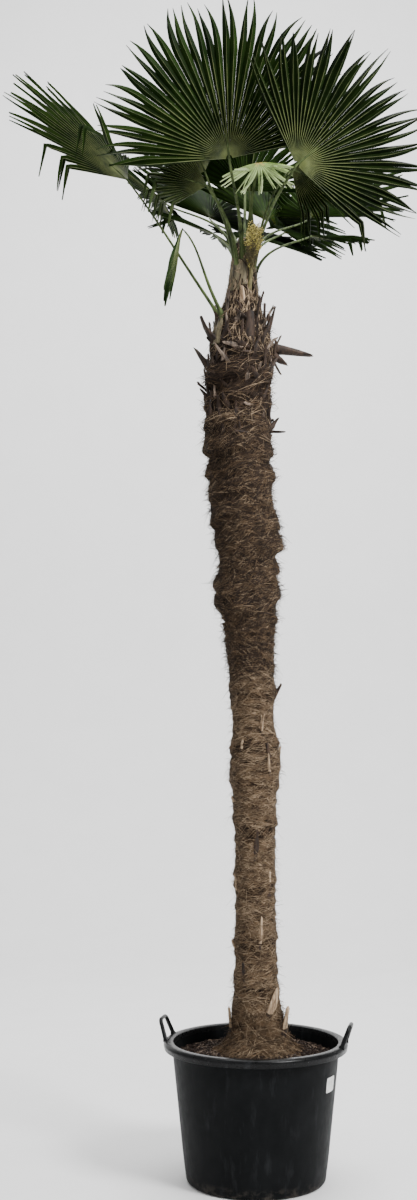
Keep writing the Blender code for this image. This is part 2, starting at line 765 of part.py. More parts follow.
def build_flowers(shaft):
    """The young flower cluster: a stalk that swells into a lumpy spindle of buds."""
    rings = []
    azimuth = math.radians(FLOWER_FOOT_AZIMUTH)
    outward = Vector((math.cos(azimuth), math.sin(azimuth), 0.0))
    foot = shaft_seat(shaft, FLOWER_FOOT_HEIGHT, outward, FLOWER_STALK_RADIUS * 0.95)
    span = FLOWER_TOP - foot
    for k in range(11):
        t = k / 10
        place = foot + span * t
        inside = max(0.0, (t - (1 - FLOWER_SHARE)) / FLOWER_SHARE)
        swell = math.sin(math.pi * min(inside + 0.04, 1.0)) ** 0.7 if inside > 0 else 0.0
        radius = FLOWER_STALK_RADIUS * (1 - inside) + FLOWER_RADIUS * swell
        if k == 10:
            radius = 0.006
        ring = []
        for i in range(10):
            angle = 2 * math.pi * i / 10
            lump = 1.0 + 0.12 * inside * noise.noise((i * 1.7, t * 9.0, 2.0))
            ring.append(place + Vector((math.cos(angle), math.sin(angle), 0.0)) * radius * lump)
        rings.append(ring)
    points, faces = ring_skin(rings)
    return make_object("flower_cluster", points, faces, "flower")


def main():
    for obj in list(bpy.data.objects):
        bpy.data.objects.remove(obj)
    build_tub()
    for name, azimuth in HANDLE_AZIMUTHS.items():
        build_handle(name, azimuth)
    build_soil()
    trunk = build_trunk()
    shaft = BVHTree.FromPolygons(*mesh_lists(trunk))
    flowers = build_flowers(shaft)
    build_fronds(shaft, (trunk, flowers))


if __name__ == "__main__":
    main()
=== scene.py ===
"""Looks of a windmill palm in a black nursery tub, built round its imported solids.

Everything is in metres, +Z up, with the middle of the tub's underside at the origin, and the
photograph's view looks along +Y. The fronds repeat the rule that placed the solid ones, read off
which pose each of them settled in, and carry it on to narrow leaflets with ribs. The trunk gets a
skin of matted fibre, old leaf bases and loose strands. The tub gets its rolled rim and handles.
"""

import logging
import math
from dataclasses import dataclass, field, replace
from enum import Enum
from itertools import product

import bpy
import numpy as np
from mathutils import Matrix, Vector, noise
from mathutils.bvhtree import BVHTree


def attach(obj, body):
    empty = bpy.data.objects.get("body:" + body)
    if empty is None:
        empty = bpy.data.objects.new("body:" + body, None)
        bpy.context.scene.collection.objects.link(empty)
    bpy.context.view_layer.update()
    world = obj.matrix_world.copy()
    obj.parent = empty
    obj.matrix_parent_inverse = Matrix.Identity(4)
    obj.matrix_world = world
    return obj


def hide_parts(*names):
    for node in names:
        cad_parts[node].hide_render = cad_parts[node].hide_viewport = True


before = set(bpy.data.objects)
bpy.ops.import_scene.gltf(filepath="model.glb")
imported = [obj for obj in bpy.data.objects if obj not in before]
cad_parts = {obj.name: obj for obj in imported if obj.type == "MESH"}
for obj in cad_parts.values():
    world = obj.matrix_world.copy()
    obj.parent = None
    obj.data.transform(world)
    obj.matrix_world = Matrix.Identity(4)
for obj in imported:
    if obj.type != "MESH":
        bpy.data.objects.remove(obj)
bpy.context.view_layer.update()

Pair = tuple[float, float]
Triple = tuple[float, float, float]
Colour = Triple
Tree = bpy.types.NodeTree
Socket = bpy.types.NodeSocket

GOLDEN_TURN = 2.399963
BALL_POINTS = 12
UP = np.array([0.0, 0.0, 1.0])

log = logging.getLogger("palm")


# Finishes


def ranged(tree: Tree, value: Socket, ends: Pair, results: Pair = (0.0, 1.0)) -> Socket:
    """Maps a value from one range to another.

    Args:
        tree: the material's nodes.
        value: the socket that is mapped.
        ends: the values where the result starts and stops changing.
        results: the results at these values.

    Returns:
        The result.
    """
    spread = tree.nodes.new("ShaderNodeMapRange")
    for name, given in zip(("From Min", "From Max", "To Min", "To Max"), (*ends, *results)):
        spread.inputs[name].default_value = given
    tree.links.new(value, spread.inputs["Value"])
    return spread.outputs["Result"]


@dataclass(frozen=True)
class Finish:
    """A surface whose colour wanders between a dark and a light tone.

    grain is how many cells of the wandering lie in a metre along X, Y and Z, and bump how far the
    finer grain stands out, in metres.
    """

    name: str
    dark: Colour
    light: Colour
    roughness: Pair = (0.6, 0.8)
    grain: Triple = (40.0, 40.0, 40.0)
    bump: float = 0.0
    specular: float = 0.5
    spread: Pair = (0.35, 0.65)

    def cloud(self, tree: Tree, grain: Triple, detail: float) -> Socket:
        """Adds a noise that lies still on the object.

        Args:
            tree: the material's nodes.
            grain: cells in a metre along X, Y and Z.
            detail: octaves of finer noise.

        Returns:
            The noise's value.
        """
        place = tree.nodes.new("ShaderNodeTexCoord")
        stretch = tree.nodes.new("ShaderNodeMapping")
        stretch.inputs["Scale"].default_value = grain
        speckle = tree.nodes.new("ShaderNodeTexNoise")
        speckle.inputs["Scale"].default_value = 1.0
        speckle.inputs["Detail"].default_value = detail
        speckle.inputs["Roughness"].default_value = 0.62
        tree.links.new(place.outputs["Object"], stretch.inputs["Vector"])
        tree.links.new(stretch.outputs["Vector"], speckle.inputs["Vector"])
        return speckle.outputs[0]

    def colour(self, tree: Tree) -> Socket:
        """The colour that wanders between the two tones."""
        ramp = tree.nodes.new("ShaderNodeValToRGB")
        for stop, place, tone in zip(ramp.color_ramp.elements, self.spread, (self.dark, self.light)):
            stop.position, stop.color = place, (*tone, 1.0)
        tree.links.new(self.cloud(tree, self.grain, 4.0), ramp.inputs["Fac"])
        return ramp.outputs["Color"]

    def material(self) -> bpy.types.Material:
        """The finish as a material, made once."""
        made = bpy.data.materials.get(self.name)
        if made is not None:
            return made
        made = bpy.data.materials.new(self.name)
        made.use_nodes = True
        tree = made.node_tree
        shader = tree.nodes["Principled BSDF"]
        shader.inputs["Specular IOR Level"].default_value = self.specular
        tree.links.new(self.colour(tree), shader.inputs["Base Color"])
        fine = self.cloud(tree, tuple(g * 3.1 for g in self.grain), 3.0)
        tree.links.new(ranged(tree, fine, (0.3, 0.7), self.roughness), shader.inputs["Roughness"])
        if self.bump:
            relief = tree.nodes.new("ShaderNodeBump")
            relief.inputs["Strength"].default_value = 0.7
            relief.inputs["Distance"].default_value = self.bump
            tree.links.new(fine, relief.inputs["Height"])
            tree.links.new(relief.outputs["Normal"], shader.inputs["Normal"])
        return made


@dataclass(frozen=True)
class ScuffedPlastic(Finish):
    """Black tub plastic with grey smears that run down it and soil rubbed in near the foot."""

    scuff: Colour = (0.020, 0.021, 0.023)
    earth: Colour = (0.060, 0.052, 0.044)
    earth_top: float = 0.045

    def colour(self, tree: Tree) -> Socket:
        """Plastic, then smears, then the soil on the foot."""
        plain = super().colour(tree)
        smear = self.cloud(tree, (26.0, 26.0, 5.0), 6.0)
        smeared = self.mixed(tree, plain, self.scuff, ranged(tree, smear, (0.56, 0.86)))
        place = tree.nodes.new("ShaderNodeTexCoord")
        split = tree.nodes.new("ShaderNodeSeparateXYZ")
        tree.links.new(place.outputs["Object"], split.inputs["Vector"])
        both = tree.nodes.new("ShaderNodeMath")
        both.operation = "MULTIPLY"
        low = ranged(tree, split.outputs["Z"], (self.earth_top, 0.0), (0.0, 0.85))
        patch = ranged(tree, self.cloud(tree, (30.0, 30.0, 34.0), 5.0), (0.46, 0.62))
        tree.links.new(low, both.inputs[0])
        tree.links.new(patch, both.inputs[1])
        return self.mixed(tree, smeared, self.earth, both.outputs[0])

    def mixed(self, tree: Tree, lit_half: Socket, over: Colour, share: Socket) -> Socket:
        """Lays a colour over another one.

        Args:
            tree: the material's nodes.
            lit_half: the colour below.
            over: the colour laid over it.
            share: how much of the upper colour shows.

        Returns:
            The mixed colour.
        """
        mix = tree.nodes.new("ShaderNodeMix")
        mix.data_type = "RGBA"
        mix.inputs[7].default_value = (*over, 1.0)
        tree.links.new(share, mix.inputs[0])
        tree.links.new(lit_half, mix.inputs[6])
        return mix.outputs[2]


TUB_PLASTIC = ScuffedPlastic(
    "tub_plastic",
    (0.0034, 0.0040, 0.0043),
    (0.0056, 0.0063, 0.0068),
    (0.42, 0.55),
    (14.0, 14.0, 9.0),
    0.0003,
    0.05,
)
RIM_PLASTIC = ScuffedPlastic(
    "rim_plastic",
    (0.0022, 0.0024, 0.0026),
    (0.0050, 0.0053, 0.0056),
    (0.24, 0.36),
    (20.0, 20.0, 30.0),
    0.0003,
    0.14,
)
STICKER_PAPER = Finish(
    "sticker_paper", (0.52, 0.52, 0.50), (0.74, 0.74, 0.73), (0.45, 0.6), (60.0, 60.0, 60.0), 0.0001
)
DAMP_SOIL = Finish(
    "damp_soil", (0.0030, 0.0017, 0.0012), (0.014, 0.0084, 0.0060),
    (0.85, 1.0), (110.0, 110.0, 110.0), 0.002, 0.15
)
CRUMB_SOIL = Finish(
    "crumb_soil", (0.0050, 0.0028, 0.0020), (0.026, 0.0160, 0.0115),
    (0.85, 1.0), (90.0, 90.0, 90.0), 0.001, 0.15
)
STRAW = Finish(
    "straw", (0.020, 0.013, 0.009), (0.120, 0.085, 0.058),
    (0.7, 0.9), (40.0, 40.0, 40.0), 0.0, 0.2,
)
FIBRE_MAT = Finish(
    "fibre_mat", (0.0050, 0.0027, 0.0013), (0.034, 0.0205, 0.0115),
    (0.85, 1.0), (70.0, 70.0, 160.0), 0.003, 0.2,
)
# The skin's darker fibre: painted shade in the creases and under the ledges, and the whole skin above about
# 2.55 m and below about 0.50 m.
FIBRE_SHADE_AND_DARK = Finish(
    "fibre_shade_and_dark", (0.0022, 0.0011, 0.0006), (0.016, 0.0092, 0.0052),
    (0.85, 1.0), (80.0, 80.0, 150.0), 0.003, 0.15,
)
FIBRE_DARK = Finish(
    "fibre_dark", (0.005, 0.0026, 0.0015), (0.032, 0.0195, 0.0120),
    (0.8, 1.0), (40.0, 40.0, 70.0), 0.0, 0.25,
)
FIBRE_BROWN = Finish(
    "fibre_brown", (0.024, 0.0140, 0.0075), (0.130, 0.083, 0.046),
    (0.8, 1.0), (30.0, 30.0, 50.0), 0.0, 0.25,
)
FIBRE_PALE = Finish(
    "fibre_pale", (0.060, 0.040, 0.023), (0.320, 0.232, 0.148),
    (0.75, 0.95), (40.0, 40.0, 60.0), 0.0, 0.25,
)
BASE_BROWN = Finish(
    "base_brown", (0.0045, 0.0023, 0.0014), (0.048, 0.028, 0.017),
    (0.6, 0.85), (60.0, 60.0, 16.0), 0.001, 0.3,
)
BASE_GREY = Finish(
    "base_grey", (0.012, 0.0075, 0.005), (0.220, 0.165, 0.125),
    (0.6, 0.85), (60.0, 60.0, 16.0), 0.001, 0.3,
)
CUT_WOOD = Finish(
    "cut_wood", (0.120, 0.072, 0.038), (0.520, 0.390, 0.260),
    (0.7, 0.9), (170.0, 170.0, 12.0), 0.001, 0.3,
)
SHEATH_GREEN = Finish(
    "sheath_green", (0.008, 0.0065, 0.003), (0.170, 0.140, 0.080),
    (0.5, 0.7), (70.0, 70.0, 9.0), 0.0006, 0.3,
)
STALK_GREEN = Finish(
    "stalk_green", (0.009, 0.016, 0.004), (0.095, 0.128, 0.045),
    (0.50, 0.65), (50.0, 50.0, 12.0), 0.0004, 0.12,
)
RIB_PALE = Finish("rib_pale", (0.022, 0.036, 0.006), (0.150, 0.180, 0.052), (0.45, 0.6), (14.0, 14.0, 14.0))
BUD_YELLOW = Finish(
    "bud_yellow", (0.10, 0.075, 0.012), (0.86, 0.74, 0.22),
    (0.55, 0.75), (160.0, 160.0, 160.0),
)
BUD_BROWN = Finish(
    "bud_brown", (0.020, 0.016, 0.006), (0.14, 0.110, 0.036),
    (0.6, 0.8), (140.0, 140.0, 140.0),
)
BUD_STALK = Finish("bud_stalk", (0.050, 0.042, 0.016), (0.19, 0.16, 0.060), (0.6, 0.8), (120.0, 120.0, 60.0))
STUDIO_PALE = Finish("studio_pale", (0.80, 0.80, 0.80), (0.82, 0.82, 0.82), (0.85, 0.95), (3.0, 3.0, 3.0))


class LeafTone(Enum):
    """How a fan is coloured: its name, and the dark and the light tone of a leaflet's darker half. The
    shaded, dim and lit tones are one leaf green, darker or lighter as painted shade or painted light on the
    whole fan; the fresh one is a young green made brighter with painted light; the old one is an old leaf's
    own colour.
    """

    SHADED = ("shaded", (0.0019, 0.0064, 0.0003), (0.0058, 0.0142, 0.0012))
    DIM = ("dim", (0.0010, 0.0034, 0.0002), (0.0032, 0.0080, 0.0006))
    LIT = ("lit", (0.0026, 0.0082, 0.0004), (0.0100, 0.0224, 0.0024))
    FRESH = ("fresh", (0.230, 0.300, 0.120), (0.560, 0.640, 0.400))
    OLD = ("old", (0.0065, 0.0135, 0.0025), (0.0320, 0.0460, 0.0160))

    def finishes(self) -> list[Finish]:
        """The finishes of a leaflet's darker half and of its paler half, which are painted shade and painted
        light on the two sides of its fold, and of the fan's heart.
        """
        name, dark, light = self.value
        lit_half_dark = tuple(1.75 * c + 0.0010 for c in dark)
        lit_half_light = tuple(1.75 * c + 0.0020 for c in light)
        heart_dark = (dark[0] * 1.8 + 0.004, dark[1] * 1.3 + 0.003, dark[2] * 1.3)
        heart_light = (light[0] * 2.0 + 0.006, light[1] * 1.4 + 0.004, light[2] * 1.3)
        cells = (9.0, 9.0, 9.0)
        return [
            Finish(f"leaf_{name}_upper", dark, light, (0.50, 0.64), cells, 0.0, 0.06),
            Finish(f"leaf_{name}_under", lit_half_dark, lit_half_light, (0.50, 0.66), cells, 0.0, 0.04),
            Finish(f"leaf_{name}_heart", heart_dark, heart_light, (0.45, 0.60), cells, 0.0, 0.08),
        ]


# Meshes from arrays


@dataclass
class Heap:
    """Points and faces gathered from many small shapes, to be joined into one mesh."""

    points: list[np.ndarray] = field(default_factory=list)
    faces: list[np.ndarray] = field(default_factory=list)
    marks: list[np.ndarray] = field(default_factory=list)
    start: int = 0
    count: int = 0

    def add(self, points: np.ndarray, faces: np.ndarray, mark: int | np.ndarray = 0) -> None:
        """Adds a shape.

        Args:
            points: its points, one a row.
            faces: its faces, one a row of 3 or 4 places in points.
            mark: which finish its faces take, one for all or one for each.
        """
        points = np.asarray(points, dtype=np.float64).reshape(-1, 3)
        self.points.append(points)
        self.start = self.count
        self.count += len(points)
        self.tie(faces, mark)

    def tie(self, faces: np.ndarray, mark: int | np.ndarray = 0) -> None:
        """Adds faces to the shape that was added last.

        Args:
            faces: the faces, one a row of 3 or 4 places in that shape's points.
            mark: which finish they take, one for all or one for each.
        """
        self.faces.append(np.asarray(faces, dtype=np.int64) + self.start)
        self.marks.append(np.broadcast_to(np.asarray(mark, dtype=np.int64), (len(faces),)))

    def bar(
        self, line: np.ndarray, side: np.ndarray, half: np.ndarray, deep: np.ndarray, sides: int
    ) -> None:
        """Adds a closed bar, with the arguments of tube."""
        points, (quads, ends) = tube(line, side, half, deep, sides)
        self.add(points, quads)
        self.tie(ends)

    def piece(self, name: str, finishes: list[Finish], crease: float = 0.7) -> bpy.types.Object:
        """Joins all shapes into one mesh object.

        Args:
            name: the object's name.
            finishes: its finishes, in the order of the marks.
            crease: the angle from which an edge stays sharp, in radians.

        Returns:
            The object.
        """
        points = np.concatenate(self.points).astype(np.float32)
        corners = np.concatenate([f.ravel() for f in self.faces]).astype(np.int32)
        sizes = np.concatenate([np.full(len(f), f.shape[1], dtype=np.int32) for f in self.faces])
        starts = np.concatenate(([0], np.cumsum(sizes)[:-1])).astype(np.int32)
        mesh = bpy.data.meshes.new(name)
        mesh.vertices.add(len(points))
        mesh.vertices.foreach_set("co", points.ravel())
        mesh.loops.add(len(corners))
        mesh.loops.foreach_set("vertex_index", corners)
        mesh.polygons.add(len(sizes))
        mesh.polygons.foreach_set("loop_start", starts)
        mesh.polygons.foreach_set("material_index", np.concatenate(self.marks).astype(np.int32))
        mesh.update(calc_edges=True)
        mesh.validate()
        mesh.shade_smooth()
        mesh.set_sharp_from_angle(angle=crease)
        for finish in finishes:
            mesh.materials.append(finish.material())
        made = bpy.data.objects.new(name, mesh)
        bpy.context.scene.collection.objects.link(made)
        return made


def put_on(piece: bpy.types.Object, slot: str, *nodes: str) -> bpy.types.Object:
    """Lets a piece ride on the part, and reports it.

    Args:
        piece: the piece.
        slot: the name of the record's material slot that it belongs to, which is not used.
        nodes: the solid nodes that it stands for.

    Returns:
        The piece.
    """
    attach(piece, "root")
    if nodes:
        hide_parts(*nodes)
    piece.data.calc_loop_triangles()
    log.info("%s: %d triangles", piece.name, len(piece.data.loop_triangles))
    return piece


def level_ways(azimuth: float) -> tuple[np.ndarray, np.ndarray]:
    """The level directions outward and sideways at an azimuth in degrees."""
    turn = math.radians(azimuth)
    outward = np.array([math.cos(turn), math.sin(turn), 0.0])
    return outward, np.array([-math.sin(turn), math.cos(turn), 0.0])


def unit(rows: np.ndarray) -> np.ndarray:
    """The rows scaled to length 1."""
    return rows / np.maximum(np.linalg.norm(rows, axis=-1, keepdims=True), 1e-9)


def soft_noise(rows: np.ndarray, seed: int) -> np.ndarray:
    """A smooth noise between -1 and 1 with one cell a unit.

    Args:
        rows: places, one a row of three.
        seed: which noise.

    Returns:
        One value a row.
    """
    low = np.floor(rows).astype(np.int64)
    part = rows - low
    ease = part * part * (3 - 2 * part)
    total = np.zeros(len(rows))
    for corner in product((0, 1), repeat=3):
        cell = low + np.array(corner)
        mixed = cell[:, 0] * 374761393 + cell[:, 1] * 668265263 + cell[:, 2] * 2246822519 + seed * 97463
        mixed &= 0xFFFFFFFF
        mixed = ((mixed ^ (mixed >> 13)) * 1274126177) & 0xFFFFFFFF
        value = ((mixed ^ (mixed >> 16)) & 0xFFFF) / 0x7FFF - 1.0
        weight = np.prod(np.where(np.array(corner) == 1, ease, 1 - ease), axis=1)
        total += value * weight
    return total


def ring_faces(rings: int, sides: int) -> tuple[np.ndarray, np.ndarray, np.ndarray]:
    """The faces of rings of points that are followed by the middle of each end.

    Args:
        rings: how many rings there are.
        sides: how many points a ring has.

    Returns:
        The quads between the rings, and the triangles of the first end and of the last.
    """
    row, k = np.meshgrid(np.arange(rings - 1), np.arange(sides), indexing="ij")
    after = (k + 1) % sides
    low, high = row * sides, (row + 1) * sides
    quads = np.stack((low + k, low + after, high + after, high + k), axis=-1).reshape(-1, 4)
    k, after, end = k[0], after[0], (rings - 1) * sides
    first = np.stack((after, k, np.full(sides, rings * sides)), axis=1)
    last = np.stack((end + k, end + after, np.full(sides, rings * sides + 1)), axis=1)
    return quads, first, last


def tube(line: np.ndarray, side: np.ndarray, half: np.ndarray, deep: np.ndarray, sides: int) -> tuple:
    """A closed bar round a middle line.

    Args:
        line: the middle line, one point a row.
        side: the direction of its width at each point.
        half: half its width at each point.
        deep: half its depth at each point.
        sides: how many sides it has.

    Returns:
        Its points, and a list of face arrays: the quads and the triangles of both ends.
    """
    along = unit(np.gradient(line, axis=0))
    across = unit(side - along * np.sum(side * along, axis=1, keepdims=True))
    out = np.cross(along, across)
    turn = 2 * np.pi * np.arange(sides) / sides
    rings = line[:, None] + (
        across[:, None] * (half[:, None] * np.cos(turn))[..., None]
        + out[:, None] * (deep[:, None] * np.sin(turn))[..., None]
    )
    points = np.concatenate((rings.reshape(-1, 3), line[:1], line[-1:]))
    quads, first, last = ring_faces(len(line), sides)
    return points, [quads, np.concatenate((first, last))]


# Tub


def deselect() -> None:
    """Goes to object mode and deselects everything."""
    if bpy.context.mode != "OBJECT":
        bpy.ops.object.mode_set(mode="OBJECT")
    bpy.ops.object.select_all(action="DESELECT")


class Deselected:
    """Leaves nothing selected and no object in edit mode while a new primitive is shaped."""

    def __enter__(self) -> None:
        """Starts with nothing selected."""
        deselect()

    def __exit__(self, *problem: object) -> None:
        """Ends with nothing selected."""
        deselect()


def finish_shape(piece: bpy.types.Object, name: str, finish: Finish, crease: float = 35.0) -> None:
    """Names a shaped primitive, applies its place, smooths it and dresses it.

    Args:
        piece: the object, which is the active one.
        name: its name.
        finish: its finish.
        crease: the angle from which an edge stays sharp, in degrees.
    """
    if bpy.context.mode != "OBJECT":
        bpy.ops.object.mode_set(mode="OBJECT")
    piece.name = piece.data.name = name
    piece.select_set(True)
    bpy.context.view_layer.objects.active = piece
    bpy.ops.object.transform_apply(location=True, rotation=True, scale=True)
    bpy.ops.object.mode_set(mode="EDIT")
    bpy.ops.mesh.select_all(action="SELECT")
    bpy.ops.mesh.normals_make_consistent(inside=False)
    bpy.ops.object.mode_set(mode="OBJECT")
    bpy.ops.object.shade_smooth_by_angle(angle=math.radians(crease))
    piece.data.materials.clear()
    piece.data.materials.append(finish.material())


@dataclass
class Tub:
    """The round nursery tub with its rolled rim, two loop handles and a blank sticker."""

    height: float = 0.49
    foot_radius: float = 0.250
    shoulder_radius: float = 0.299
    rim_radius: float = 0.330
    rim_depth: float = 0.026
    corner: float = 0.018
    wall: float = 0.006
    sides: int = 128
    drain_holes: int = 5
    drain_radius: float = 0.012
    drain_reach: float = 0.170
    handle_azimuths: tuple[tuple[str, float], ...] = (("handle_left", 168.0), ("handle_right", -12.0))
    handle_width: float = 0.115
    handle_height: float = 0.070
    handle_lean: float = 20.0
    handle_seat: float = 0.318
    sticker_azimuth: float = -27.0
    sticker_size: tuple[float, float] = (0.062, 0.052)
    sticker_height: float = 0.365

    def outer_radius(self, height: float) -> float:
        """Radius of the outer skin at a height under the rim."""
        share = height / (self.height - self.rim_depth)
        return self.foot_radius + (self.shoulder_radius - self.foot_radius) * share

    def inner_radius(self, height: float) -> float:
        """Radius of the inner skin at a height under the rim."""
        return self.outer_radius(height) - self.wall

    def arc(self, centre: Pair, radius: float, start: float, end: float, steps: int) -> list:
        """Points of an arc in the profile's plane.

        Args:
            centre: its middle, as radius and height.
            radius: its radius.
            start: its first angle, in degrees.
            end: its last angle.
            steps: how many steps it takes.

        Returns:
            The points as (radius, height).
        """
        angles = [math.radians(start + (end - start) * k / steps) for k in range(steps + 1)]
        return [(centre[0] + radius * math.cos(a), centre[1] + radius * math.sin(a)) for a in angles]

    def profile(self) -> list[Pair]:
        """The tub's closed outline from the middle of its underside round to the middle of its floor."""
        under_rim = self.height - self.rim_depth
        lip = self.rim_depth / 2
        rows = [(0.02, 0.0), (0.20, 0.0), (0.206, 0.0025), (0.222, 0.0025), (0.228, 0.0)]
        rows += self.arc((self.foot_radius - self.corner, self.corner), self.corner, -90, 0, 6)
        rows += [(self.outer_radius(h), h) for h in (0.10, 0.20, 0.30, 0.40, 0.445)]
        rows += [(self.outer_radius(under_rim) + 0.001, under_rim - 0.003)]
        rows += [(self.shoulder_radius + 0.004, under_rim - 0.001)]
        rows += [(self.rim_radius - 0.006, under_rim - 0.004), (self.rim_radius - 0.003, under_rim - 0.002)]
        rows += self.arc((self.rim_radius - lip, self.height - lip), lip, -20, 90, 8)
        inner_top = self.inner_radius(under_rim)
        rows += [(inner_top + 0.008, self.height - 0.0005), (inner_top + 0.003, self.height - 0.003)]
        rows += [(inner_top, under_rim + 0.006), (inner_top - 0.001, under_rim - 0.010)]
        rows += [(self.inner_radius(0.20), 0.20), (self.inner_radius(0.018), 0.018)]
        rows += [(self.inner_radius(self.wall) - 0.010, self.wall), (0.02, self.wall)]
        return rows

    def build_shell(self) -> bpy.types.Object:
        """Extrudes the foot's ring round the whole outline, closes the floor and drills it."""
        rows = self.profile()
        with Deselected():
            bpy.ops.mesh.primitive_circle_add(
                vertices=self.sides, radius=rows[0][0], fill_type="NGON", location=(0, 0, 0)
            )
            shell = bpy.context.object
            bpy.ops.object.mode_set(mode="EDIT")
            bpy.ops.mesh.select_mode(type="EDGE")
            bpy.ops.mesh.select_all(action="SELECT")
            bpy.ops.mesh.region_to_loop()
            for (before, low), (after, high) in zip(rows, rows[1:]):
                bpy.ops.mesh.extrude_edges_move(TRANSFORM_OT_translate={"value": (0, 0, high - low)})
                grow = after / before
                bpy.ops.transform.resize(value=(grow, grow, 1), center_override=(0, 0, high))
            bpy.ops.mesh.edge_face_add()
            finish_shape(shell, "tub_shell", TUB_PLASTIC)
        for k in range(self.drain_holes):
            self.drill(shell, 2 * math.pi * (k + 0.36) / self.drain_holes)
        shell.data.materials.append(RIM_PLASTIC.material())
        for polygon in shell.data.polygons:
            if polygon.center.z > self.height - self.rim_depth + 0.001:
                polygon.material_index = 1
        return put_on(shell, "tub", "tub")

    def drill(self, shell: bpy.types.Object, angle: float) -> None:
        """Cuts one drain hole through the floor.

        Args:
            shell: the tub.
            angle: the hole's angle round the axis.
        """
        with Deselected():
            place = (self.drain_reach * math.cos(angle), self.drain_reach * math.sin(angle), 0.0)
            bpy.ops.mesh.primitive_cylinder_add(
                vertices=24, radius=self.drain_radius, depth=0.05, location=place
            )
            drill = bpy.context.object
            bpy.ops.object.select_all(action="DESELECT")
            shell.select_set(True)
            bpy.context.view_layer.objects.active = shell
            cut = shell.modifiers.new("drain", "BOOLEAN")
            cut.operation = "DIFFERENCE"
            cut.object = drill
            bpy.ops.object.modifier_apply(modifier="drain")
            bpy.data.objects.remove(drill)

    def build_handle(self, node: str, azimuth: float) -> bpy.types.Object:
        """Extrudes and spins one loop handle and stands it on the rim.

        Args:
            node: the solid handle that it stands for.
            azimuth: its side of the tub, in degrees.

        Returns:
            The handle.
        """
        half, top, bend, inset = self.handle_width / 2, self.handle_height, 0.022, 0.012
        with Deselected():
            bpy.ops.mesh.primitive_circle_add(
                vertices=16, radius=0.0062, fill_type="NGON", location=(-half, 0, -0.006)
            )
            loop = bpy.context.object
            bpy.ops.object.mode_set(mode="EDIT")
            bpy.ops.mesh.select_all(action="SELECT")
            bpy.ops.transform.resize(value=(1.5, 2.0, 1), center_override=(-half, 0, -0.006))
            rise = top - bend - 0.022
            self.grow(
                loop,
                [
                    ((0, 0, 0.012), 1 / 1.5, 1 / 1.55),
                    ((0.004, 0, 0.016), 1, 0.97),
                    ((0.008, 0, rise), 1, 0.95),
                ],
            )
            corner = (-half + inset + bend, 0.0, top - bend)
            bpy.ops.mesh.spin(steps=7, angle=-math.pi / 2, center=corner, axis=(0, 1, 0))
            if self.middle_of(loop)[2] < top - 0.005:
                log.warning("the handle's first bend turned the other way")
            span = -2 * corner[0]
            bpy.ops.mesh.extrude_region_move(TRANSFORM_OT_translate={"value": (span, 0, 0)})
            corner = (-corner[0], 0.0, corner[2])
            bpy.ops.mesh.spin(steps=7, angle=-math.pi / 2, center=corner, axis=(0, 1, 0))
            self.grow(
                loop,
                [
                    ((0.008, 0, -rise), 1, 1 / 0.95),
                    ((0.004, 0, -0.016), 1, 1 / 0.97),
                    ((0, 0, -0.012), 1.5, 1.55),
                ],
            )
            bpy.ops.object.mode_set(mode="OBJECT")
            loop.matrix_world = (
                Matrix.Translation((0, 0, self.height))
                @ Matrix.Rotation(math.radians(azimuth + 90.0), 4, "Z")
                @ Matrix.Translation((0, -self.handle_seat, 0))
                @ Matrix.Rotation(math.radians(self.handle_lean), 4, "X")
                @ loop.matrix_world
            )
            finish_shape(loop, f"{node}_loop", RIM_PLASTIC, 50.0)
        return put_on(loop, "tub", node)

    def grow(self, loop: bpy.types.Object, steps: list[tuple[Triple, float, float]]) -> None:
        """Extrudes the chosen ring of a handle step by step.

        Args:
            loop: the handle.
            steps: of each step, its move and how much the ring grows in X and in Y.
        """
        for move, thin, narrow in steps:
            bpy.ops.mesh.extrude_region_move(TRANSFORM_OT_translate={"value": move})
            bpy.ops.transform.resize(value=(thin, narrow, 1), center_override=self.middle_of(loop))

    def middle_of(self, loop: bpy.types.Object) -> Triple:
        """The middle of the selected points, in world coordinates."""
        loop.update_from_editmode()
        chosen = [loop.matrix_world @ v.co for v in loop.data.vertices if v.select]
        return tuple(sum(chosen, Vector()) / max(len(chosen), 1))

    def build_sticker(self) -> bpy.types.Object:
        """Lays a blank sticker with rounded corners on the wall."""
        width, tall = self.sticker_size
        with Deselected():
            bpy.ops.mesh.primitive_grid_add(x_subdivisions=18, y_subdivisions=12, size=1.0)
            paper = bpy.context.object
            for vertex in paper.data.vertices:
                x, y = vertex.co.x * 2, vertex.co.y * 2
                x, y = x * (1 - 0.05 * abs(y) ** 9), y * (1 - 0.07 * abs(x) ** 9)
                height = self.sticker_height + y * tall / 2
                radius = self.outer_radius(height) + 0.0006
                angle = math.radians(self.sticker_azimuth) + x * width / 2 / radius
                vertex.co = (radius * math.cos(angle), radius * math.sin(angle), height)
            thick = paper.modifiers.new("thick", "SOLIDIFY")
            thick.thickness = 0.0005
            thick.offset = 0.0
            bpy.ops.object.modifier_apply(modifier="thick")
            finish_shape(paper, "blank_sticker", STICKER_PAPER)
        return put_on(paper, "tub")

    def build(self) -> None:
        """Builds the tub's pieces."""
        self.build_shell()
        for node, azimuth in self.handle_azimuths:
            self.build_handle(node, azimuth)
        self.build_sticker()


